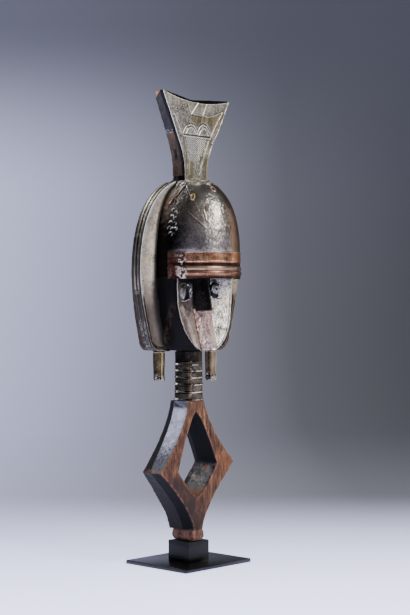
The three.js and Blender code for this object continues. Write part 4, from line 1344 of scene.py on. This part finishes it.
def makeWindingBrass():
    finish = Finish("winding_brass", Metallic=1.0)
    cloud = finish.noise(12, 4, 0.6)
    speck = finish.noise(1.6, 5, 0.7)
    low = finish.value("edge").between(0.0, -0.2)
    finish.colour = finish.mottle(speck * 0.4 + cloud * 0.6, (60, 54, 44), (102, 92, 76), (146, 132, 110))
    finish.cover(finish.noise(8, 3).between(0.54, 0.66) * 0.5, (84, 56, 40))
    ridge = finish.value("ridge").between(0.25, 0.85)
    patchy = finish.noise(6, 4, 0.65).between(0.38, 0.54)
    shaded = finish.x.between(-11.5, -13.5)
    finish.cover(shaded * 0.8, (24, 22, 20))
    glint = shaded * finish.y.within(2, 6, 10, 13)
    front = finish.x.within(-11, -7, 8, 15)
    # painted shade near the corner between the side and the front
    finish.cover(finish.x.within(-13.5, -11, -9, -6) * 0.7, (44, 37, 29))
    # painted highlights on the bead ridges of the front and in spots on the shaded side
    finish.cover(ridge * glint.most(front) * patchy * 0.85, (232, 224, 204))
    # painted shade between the beads on the front
    finish.cover((1 - ridge) * front * 0.3, (40, 34, 27))
    # painted shade in the hollows
    finish.cover(low * 0.85, (12, 10, 8))
    # painted shadow of the head on the collar
    finish.cover(finish.z.between(250, 252.5) * 0.8, (30, 28, 27))
    finish.bump((3.4, 4, 0.6), 0.3, 0.6)
    return finish.set(Roughness=0.2 + speck * 0.22 + low * 0.2)


settle(winding, makeWindingBrass(), "brass_strip", "neck_winding")


# Pendants: brass tubes, crimped at the foot

pendant = {
    "spacing": 92.5, "radius": 7.75, "inset": 0.45, "back": 6.0, "top": 264.0, "foot": {-1: 229.3, 1: 226.6},
    "lap": 0.7, "seam": {-1: 0.69, 1: 0.79}, "crimp": 1.1, "ragged": 1.4, "waist": 0.5, "wall": 0.8,
    "columns": 80, "rows": 60,
}


def makePendant(side, name):
    centre = np.array((side * pendant["spacing"] / 2, pendant["back"], 0))

    def place(u, v):
        angle = u * 2 * np.pi
        c, s = np.cos(angle), np.sin(angle)
        z = lerp(pendant["foot"][side], pendant["top"], v)
        around = asPoints(c * 7, s * 7, z)
        seam = (u - pendant["seam"][side]) * 2 * np.pi * pendant["radius"]
        low = ease(238, 229, z)
        radius = pendant["radius"] - pendant["inset"] - pendant["waist"] * bell(z - 240, 7)
        radius += pendant["lap"] * ease(-0.3, 0.3, seam) * ease(3.5, 0.5, seam)
        radius -= low * (0.25 - pendant["crimp"] * softNoise(around * (1, 1, 0.15), 3.2, 131))
        radius += 0.2 * layered(around, 6, 132)
        ragged = pendant["ragged"] * low * softNoise(around * (1, 1, 0), 3.0, 133 + side) * (1 - v) ** 6
        return asPoints(radius * c, radius * s, z + np.maximum(ragged, -0.6)) + centre

    piece = meshSheet(name, pendant["columns"], pendant["rows"], place)
    closeSeam(piece, centre)
    thicken(piece, pendant["wall"])
    return finishShape(piece)


def makePendantBrass():
    finish, cloud, speck, edge, low = metal(
        "pendant_brass", (12, 4, 0.6, (1, 1, 0.4)), (1.6, 5, 0.7), (0.02, 0.25), (0.0, -0.2))
    finish.colour = finish.mottle(speck * 0.4 + cloud * 0.6, (56, 45, 28), (90, 76, 46), (124, 108, 68))
    finish.cover(finish.noise(7, 4).between(0.5, 0.6) * 0.6, (84, 58, 44))
    finish.cover(finish.x.between(0, 10) * 0.35, (196, 172, 136))
    # painted shade on the flanks that face the figure's right
    finish.cover(finish.facing("X").between(-0.3, -0.85) * 0.7, (30, 24, 16))
    foot = finish.z.between(236.5, 233)
    specks = finish.noise(2.2, 4, 0.7).between(0.54, 0.6)
    finish.cover(foot * 0.85, finish.mix(specks, (16, 13, 11), (206, 200, 186)))
    # painted highlights on raised edges
    finish.cover(edge * 0.6, (220, 206, 160))
    # painted shade in the hollows
    finish.cover(low * 0.8, (20, 15, 10))
    finish.bump((3.4, 4, 0.6), 0.3, 0.6)
    return finish.set(Roughness=0.28 + speck * 0.25)


pendantBrass = makePendantBrass()
for side, hand in hands:
    settle(makePendant(side, f"pendant_tube_{hand}"), pendantBrass, "brass_strip", f"pendant_sleeve_{hand}")
print("neck and pendants made")


# Crest: embossed sheet on its face, dark strips on its sides

crest = {
    "base": 474.3, "height": 109.0, "topWidth": 121.5, "baseWidth": 40.0, "flareStart": 0.27, "sag": 9.0,
    "tilt": 1.7, "frontBase": 12.3, "frontTop": 14.7, "columns": 212, "rows": 178, "wall": 0.9,
    "border": 0.45, "inset": 0.8, "foot": 0.02, "end": 0.985, "stipple": 0.22, "leafRise": 0.5,
    "rowStep": 2.75, "strokeStep": 2.3, "sideGrain": 0.65, "sideDent": 0.3,
}


def crestHalfWidth(share):
    def bend(t):
        return np.hypot(t - crest["flareStart"], 0.14) + t - crest["flareStart"]
    flare = (bend(share) - bend(0)) / (bend(1) - bend(0))
    return lerp(crest["baseWidth"], crest["topWidth"], flare) / 2


def crestPlace(across, share, out=0.0):
    x = (crestHalfWidth(share) - crest["inset"]) * across
    sag = crest["sag"] * (1 - across ** 2) * share ** 3
    z = crest["base"] + crest["height"] * share - sag - crest["tilt"] * across * share
    return asPoints(x, -lerp(crest["frontBase"], crest["frontTop"], share) - out, z)


crestRidges = [  # height, half-width, then the places of a raised line
    (0.7, 0.8, [(-39.5, 556), (-36.7, 552.4), (-27.5, 536.1), (-22.1, 530.5), (-16.5, 516.2), (-10.8, 499.3),
                (-11.3, 484)]),
    (1.1, 0.85, [(53.3, 572.3), (40.9, 545.9), (28.5, 524.8)]),
    (1.1, 0.85, [(46, 565.3), (33.5, 546.5), (22.9, 529.3), (15.9, 513.7), (5.7, 484.3)]),
    (0.8, 0.9, [(-9, 559), (2.1, 572.8)]),
    (0.75, 0.75, [(-24, 534), (-18.8, 541.8), (-11.8, 545.5), (-4.7, 544.3), (0.8, 538), (1.3, 534)]),
    (0.75, 0.75, [(-18.7, 532.6), (-15.3, 539.1), (-10, 542), (-4.5, 540), (-0.8, 534.8)]),
    (0.75, 0.75, [(2.6, 534.5), (2.6, 538.8), (6.1, 544.1), (11.5, 547), (17, 545), (23.5, 538.1)]),
    (0.75, 0.75, [(4.6, 532.7), (8, 539.3), (13.4, 542.8), (18.1, 540.1), (20.9, 534.1)]),
    (0.8, 0.8, [(-21.9, 530.9), (23.6, 530.4)]),
    (0.5, 0.7, [(18.5, 573.8), (11.4, 558.6), (20.4, 557.2), (34.9, 560.9), (46.2, 566)]),
]
crestGrooves = [  # the same for sunk lines
    (0.7, 0.9, [(-17.7, 572.5), (-11.4, 559)]),
    (0.6, 0.8, [(-8, 557.4), (9.7, 556)]),
    (0.9, 0.9, [(-22.2, 532.6), (22.8, 532.6)]),
    (0.6, 0.8, [(-21.4, 536.4), (-11.8, 547.6), (-4, 546.2), (1.9, 540.2), (5.4, 546), (11.5, 549),
                (18, 547), (24.7, 539.6)]),
    (0.5, 0.8, [(-39.3, 552.6), (-30, 536.8)]),
]
crestLeaf = [(-37.6, 557.2), (-29.9, 562.8), (-24.7, 564.6), (-15.7, 559.3), (-12.1, 556), (-17.1, 545.7),
             (-25.8, 536.3)]


def insidePath(x, z, path):
    inside = np.zeros(np.shape(x), dtype=bool)
    for (x0, z0), (x1, z1) in zip(path, path[1:] + path[:1]):
        inside ^= ((z0 > z) != (z1 > z)) & (x < x0 + (z - z0) * (x1 - x0) / (z1 - z0 + 1e-9))
    return inside


def crestRelief(points):
    x, z = points[:, 0], points[:, 2]
    fromSide = crestHalfWidth((z - crest["base"]) / crest["height"]) - np.abs(x)
    height = 0.25 * layered(points, 14, 141) + 0.1 * layered(points, 4, 142)
    height += crest["border"] * bell(fromSide - 1.2, 1.0)
    for sign, lines in ((1, crestRidges), (-1, crestGrooves)):
        for rise, width, path in lines:
            height += sign * rise * bell(awayFromLine(x, z, path), width)
    fromLeaf = awayFromLine(x, z, crestLeaf + crestLeaf[:1])
    height += insidePath(x, z, crestLeaf) * crest["leafRise"] * ease(0, 3, fromLeaf)
    height += rowsMask(x, z) * (0.5 * crestRows(x, z) - 0.15)
    return height + stippleMask(x, z) * crest["stipple"] * softNoise(points, 1.3, 143)


def crestRows(x, z):  # rows of short strokes, sloping down to the middle from both sides
    wave = np.sin((z + np.where(x < 0, 0.95, -0.85) * x) * 2 * np.pi / crest["rowStep"])
    beads = np.sin((z - np.where(x < 0, 0.75, -1.1) * x) * 2 * np.pi / crest["strokeStep"])
    return np.maximum(wave, 0) * (0.5 + 0.5 * np.maximum(beads, 0))


def rowsMask(x, z):
    left = lerp(-10.8, -22.1, (z - 499.3) / 31.2)
    right = lerp(7.2, 21.0, (z - 500.6) / 29.8)
    return ease(1.2, 2.4, x - left) * ease(1.2, 2.4, right - x) * ease(499.5, 501, z) * ease(530, 529, z)


def stippleMask(x, z):
    upperLeft = ease(1.0, -1.0, x - lerp(-11.4, -18.2, (z - 559) / 13)) * ease(549, 553, z + 0.25 * (x + 40))
    upperRight = ease(0, 1.5, x - lerp(11.2, 18.1, (z - 558.2) / 15.6))
    upperRight *= ease(0, 1.5, z - 558 - 0.28 * np.maximum(x - 20.6, 0))
    upperRight *= ease(0, 1.5, 46 + (z - 565.3) * 0.62 - x)
    low = ease(-6, -5, x) * ease(8, 6.5, x) * ease(503, 501.5, z)
    return np.where(insidePath(x, z, crestLeaf), 0, np.maximum(np.maximum(upperLeft, upperRight), low))


def placeCrestSheet(u, v):
    return crestPlace(u * 2 - 1, lerp(crest["foot"], crest["end"], v))


crestSheet = meshSheet("crest_embossed", crest["columns"], crest["rows"], placeCrestSheet)
points = readPoints(crestSheet)
pushOut(crestSheet, crestRelief(points))
x, y, z = points.T
writeValues(crestSheet, "stipple", stippleMask(x, z))
writeValues(crestSheet, "rows", rowsMask(x, z))
writeValues(crestSheet, "strokes", crestRows(x, z))
writeValues(crestSheet, "leaf", insidePath(x, z, crestLeaf))
finishSheet(crestSheet, crest["wall"])


def makeCrestBrass():
    finish, cloud, speck, edge, low = metal(
        "crest_brass", (15, 4, 0.6), (1.8, 5, 0.7), (0.02, 0.26), (-0.01, -0.2), 0.9)
    brush = finish.noise(2.4, 4, 0.6, stretch=(1, 1, 0.12))
    stipple = finish.value("stipple").between(0.3, 0.7)
    dots = finish.cells(1.7).between(0.42, 0.2)
    across, height = finish.x, finish.z
    finish.colour = finish.mottle(speck * 0.4 + cloud * 0.4 + brush * 0.2, (84, 79, 67), (128, 123, 108),
                                  (176, 171, 156))
    brushed = height.within(545, 549, 556, 560) * across.between(-13.4, -9.4)
    finish.cover(brushed * 0.7, finish.mix(brush.between(0.4, 0.6), (84, 72, 42), (130, 116, 80)))
    olive = across.between(-5, -6) * height.between(504, 499) * across.between(-14, -11)
    finish.cover(olive * (0.4 + cloud * 0.6), (112, 102, 66))
    turned = across.between(12, 17) * height.between(512, 500)
    finish.cover(turned * 0.75, (92, 78, 54))
    leafy = finish.mix(finish.noise(5, 4, 0.65).between(0.44, 0.58), (96, 86, 96), (142, 138, 122))
    finish.cover(finish.value("leaf") * 0.8, leafy)
    rows = finish.value("rows")
    strokes = finish.value("strokes").between(0.15, 0.6)
    # painted highlight on the raised strokes of the rows and painted shade between them
    finish.cover(rows * strokes * 0.85, (230, 228, 220))
    finish.cover(rows * (1 - strokes) * 0.6, (106, 102, 90))
    # painted highlight on the raised dots and painted shade on the ground between them
    finish.cover(stipple * dots * 0.6, (208, 206, 192))
    finish.cover(stipple * (1 - dots) * 0.3, (84, 80, 70))
    # painted highlights on raised edges
    finish.cover(edge * 0.75, (226, 220, 200))
    # painted shade in the hollows
    finish.cover(low * 0.85, (38, 33, 24))
    finish.bump(stipple * dots, 0.35, 0.9)
    finish.bump(brush, 0.2, 0.5)
    finish.bump((3, 4, 0.65), 0.25, 0.6)
    return finish.set(Roughness=0.34 + speck * 0.2 + stipple * 0.05)


def makeCrestSideMetal():
    finish = Finish("crest_side_metal", Metallic=0.6)
    cloud = finish.noise(16, 4, 0.6, stretch=(1, 1, 0.4))
    speck = finish.noise(2, 5, 0.7)
    edge = finish.value("edge").between(0.03, 0.3)
    height, depth = finish.z, finish.y
    slate = finish.ramp(speck * 0.4 + cloud * 0.6, (0.42, (34, 33, 30)), (0.58, (64, 61, 56)))
    brown = finish.ramp(speck * 0.4 + cloud * 0.6, (0.42, (54, 41, 28)), (0.58, (96, 77, 56)))
    finish.colour = finish.mix(height.between(536.5, 534.5), slate, brown)
    pale = height.within(533.4, 534.6, 537, 538.2)
    finish.cover(pale * finish.noise(4, 3).between(0.42, 0.55) * 0.8, (150, 148, 142))
    # painted highlights on raised edges
    finish.cover(edge * 0.4, (120, 112, 102))
    # a slit the mesh doesn't cut, painted dark as the shade inside it
    slit = depth.within(-4, -3, 1, 2) * height.within(501, 503, 513, 516)
    finish.cover(slit * 0.9, (10, 8, 7))
    # painted shade along the strips' front edges, at the join with the crest sheet
    finish.cover(depth.between(-7.5, -9.5), (6, 5, 5))
    finish.bump((4, 4, 0.6), 0.4, 0.7)
    return finish.set(Roughness=0.42 + speck * 0.2)


settle(crestSheet, makeCrestBrass(), "crest_brass", "crest_sheet")
crestSideMetal = makeCrestSideMetal()
for side, hand in hands:
    for place in ("upper", "lower"):
        node = f"crest_edge_{place}_{hand}"
        name = f"crest_strip_{place}_{hand}"
        strip = refinedNode(node, name, crest["sideGrain"], crest["sideDent"], 150, smoothing=1)
        settle(strip, crestSideMetal, "dark_sheet", node)
print("crest made")


# Staples and nails

loops = [
    {"node": "forehead_staple_upper", "at": (1.768, 463.2), "tilt": 12, "size": (2.6, 4.2), "wire": 0.75,
     "metal": "staple_copper", "slot": "copper_band", "tones": ((150, 108, 92), (222, 190, 172))},
    {"node": "forehead_staple_middle", "at": (2.425, 453.1), "tilt": -8, "size": (2.3, 4.2), "wire": 0.7,
     "metal": "staple_brass", "slot": "brass_strip", "tones": ((128, 112, 62), (206, 190, 130))},
]


def makeStapleMetal(name, tones):
    finish = Finish(name, Metallic=0.6)
    speck = finish.noise(1.4, 4, 0.7)
    return finish.set(Base_Color=finish.mix(speck.between(0.45, 0.58), *tones), Roughness=0.3 + speck * 0.2)


for loop in loops:
    angle, level = loop["at"]
    wide, long = loop["size"]
    clearSelection()
    bpy.ops.mesh.primitive_torus_add(major_radius=1, minor_radius=loop["wire"] / wide, major_segments=40,
                                     minor_segments=12)
    wire = named(bpy.context.object, loop["node"].replace("forehead_", "") + "_loop")
    wire.scale = (wide * mm, long * mm, wide * mm)
    bpy.ops.object.transform_apply(location=False, rotation=False, scale=True)
    spot, aside, above = (Vector(domePlace(*place)) for place in
                          ((angle, level), (angle + 0.01, level), (angle, level + 0.5)))
    outward = (above - spot).cross(aside - spot).normalized()
    if outward.y > 0:
        outward.negate()
    upward = (above - spot).normalized()
    frameTurn = Matrix((upward.cross(outward), upward, outward)).transposed().to_4x4()
    twist = Matrix.Rotation(math.radians(loop["tilt"]), 4, "Z")
    wire.data.transform(Matrix.Translation((spot + outward * 0.9) * mm) @ frameTurn @ twist)
    finishShape(wire, 2, 60)
    settle(wire, makeStapleMetal(loop["metal"], loop["tones"]), loop["slot"], loop["node"])

nails = {
    "radius": 0.95, "height": 0.55, "inset": 0.55, "edgeRows": (0.35, 7.5), "edgeStep": 0.62,
    "frontInset": 5.2, "front": -3.1, "frontStep": 1.9, "frontLean": 0.25,
}


def addNails(name, places):
    clearSelection()
    bpy.ops.mesh.primitive_uv_sphere_add(segments=14, ring_count=9, radius=nails["radius"] * mm)
    first = bpy.context.object
    first.scale = (1, 1, nails["height"])
    bpy.ops.object.transform_apply(location=False, rotation=False, scale=True)
    heads = []
    for spot, outward in places:
        copy = first.copy()
        copy.data = first.data.copy()
        bpy.context.scene.collection.objects.link(copy)
        turn = Vector(outward).to_track_quat("Z", "Y").to_matrix().to_4x4()
        copy.data.transform(Matrix.Translation(Vector(spot) * mm) @ turn)
        heads.append(copy)
    bpy.data.objects.remove(first)
    return finishShape(joinPieces(name, heads), 2, 60)


def plateNails(side):
    places = []
    for t in np.arange(firstOpen + 0.5, 16, nails["edgeStep"]):
        for y in nails["edgeRows"]:
            spot = platePlace(t, side, nails["inset"], y)
            outward = (spot - (0, 0, plateMiddle)) * (1, 0, 1)
            places.append((spot, outward / np.linalg.norm(outward)))
    for t in np.arange(firstOpen + 1.0, 16.5, nails["frontStep"]):
        spot = platePlace(t, side, nails["frontInset"], nails["front"])
        places.append((spot, (nails["frontLean"] * side, -1, 0)))
    return places


for side, hand in hands:
    settle(addNails(f"plate_nails_{hand}", plateNails(side)), stripBrass, "brass_strip")
print("nails made")


# Floor and backdrop: one pale sweep behind and under the figure

sweep = {"wide": 5.2, "back": 3.1, "front": 2.8, "bend": 1.2, "high": 2.8, "below": 0.0002,
         "shaded": 1190.0, "columns": 8, "rows": 160}


def alongView(x, y, back=False):  # mm or m to the camera's right and away from it, or back to x and y
    turned = math.radians(view["turn"]) * (-1 if back else 1)
    return x * math.cos(turned) + y * math.sin(turned), y * math.cos(turned) - x * math.sin(turned)


def placeSweep(u, v):
    bend, flat = sweep["bend"], sweep["front"] + sweep["back"]
    run = v * (flat + sweep["high"])
    over = run - (flat - bend)
    turn = np.clip(over / (bend * math.pi / 2), 0, 1) * math.pi / 2
    ahead = np.where(over > 0, sweep["back"] - bend + bend * np.sin(turn), run - sweep["front"])
    up = np.where(over > 0, bend * (1 - np.cos(turn)) + np.maximum(over - bend * math.pi / 2, 0), 0)
    x, y = alongView((u - 0.5) * sweep["wide"], ahead, back=True)
    return asPoints(x, y, up - sweep["below"]) / mm


backdrop = meshSheet("paper_sweep", sweep["columns"], sweep["rows"], placeSweep)
smoothShade(backdrop, 80)


def makePaper():  # the paper glows with painted light, paler to the left and in front and darker high up, as in the photograph
    finish = Finish("pale_paper", Metallic=0.0, Specular_IOR_Level=0.1, Emission_Strength=0.75)
    across, ahead = alongView(finish.x, finish.y)
    reach = sweep["shaded"]
    level = finish.node("ShaderNodeMapRange", {}, {"Value": across, "From Min": -reach, "From Max": reach})
    wall = finish.ramp(level, (0.03, (0.34, 0.34, 0.37, 1)), (0.15, (0.96, 0.99, 1.45, 1)),
                       (0.32, (0.66, 0.68, 1.0, 1)), (0.5, (0.29, 0.295, 0.37, 1)),
                       (0.62, (0.125, 0.127, 0.148, 1)), (0.8, (0.066, 0.067, 0.08, 1)))
    wall = finish.mix(finish.z.between(640, 1290) * 0.9, wall, (0.05, 0.05, 0.058, 1))
    near = ahead.between(700, -500)
    return finish.set(Base_Color=finish.mix(near, (120, 122, 132), (226, 228, 240)),
                      Roughness=0.85 + finish.noise(40, 2) * 0.1,
                      # painted light: the paper's own glow, a wash to the left on the wall and a bright
                      # floor in front
                      Emission_Color=finish.mix(near, wall, (2.7, 2.8, 4.3, 1)))


backdrop.data.materials.append(makePaper())

# Lights: soft boxes round the figure, and a narrow lamp on the base from behind
lights = [
    {"name": "front_box", "from": (0.03, -0.92, 0.94), "at": (0, 0, 0.4), "size": (0.25, 0.5),
     "power": 12.5, "colour": (1.0, 0.985, 0.96)},
    {"name": "left_fill", "from": (-1.05, -0.95, 1.5), "at": (0, 0, 0.4), "size": (0.8, 0.8),
     "power": 2.2, "colour": (1.0, 0.97, 0.93)},
    {"name": "back_box", "from": (-0.1, 1.1, 1.35), "at": (0, 0, 0.45), "size": (0.4, 0.4),
     "power": 6, "colour": (0.93, 0.96, 1.0)},
    {"name": "right_box", "from": (1.15, -0.55, 0.5), "at": (0, 0, 0.34), "size": (0.5, 0.9),
     "power": 3.2, "colour": (1.0, 0.96, 0.92)},
    {"name": "base_lamp", "from": (-0.5, 0.46, 1.08), "at": (-0.042, -0.004, 0.178), "size": (0.2,),
     "spread": 6.5, "soft": 0.6, "power": 75, "colour": (0.93, 0.96, 1.0)},
]
for light in lights:
    clearSelection()
    aim = Vector(light["at"]) - Vector(light["from"])
    kind = "SPOT" if "spread" in light else "AREA"
    bpy.ops.object.light_add(type=kind, location=light["from"],
                             rotation=aim.to_track_quat("-Z", "Y").to_euler())
    lamp = bpy.context.object
    lamp.name = light["name"]
    if kind == "SPOT":
        lamp.data.spot_size = math.radians(light["spread"])
        lamp.data.spot_blend = light["soft"]
        lamp.data.shadow_soft_size = light["size"][0]
    else:
        lamp.data.shape = "RECTANGLE"
        lamp.data.size, lamp.data.size_y = light["size"]
    lamp.data.energy = light["power"]
    lamp.data.color = light["colour"]

sky = {"colour": (0.5, 0.52, 0.58, 1.0), "strength": 0.02}
world = bpy.data.worlds.new("studio")
bpy.context.scene.world = world
world.use_nodes = True
background = world.node_tree.nodes["Background"]
background.inputs["Color"].default_value = sky["colour"]
background.inputs["Strength"].default_value = sky["strength"]
print("studio set")
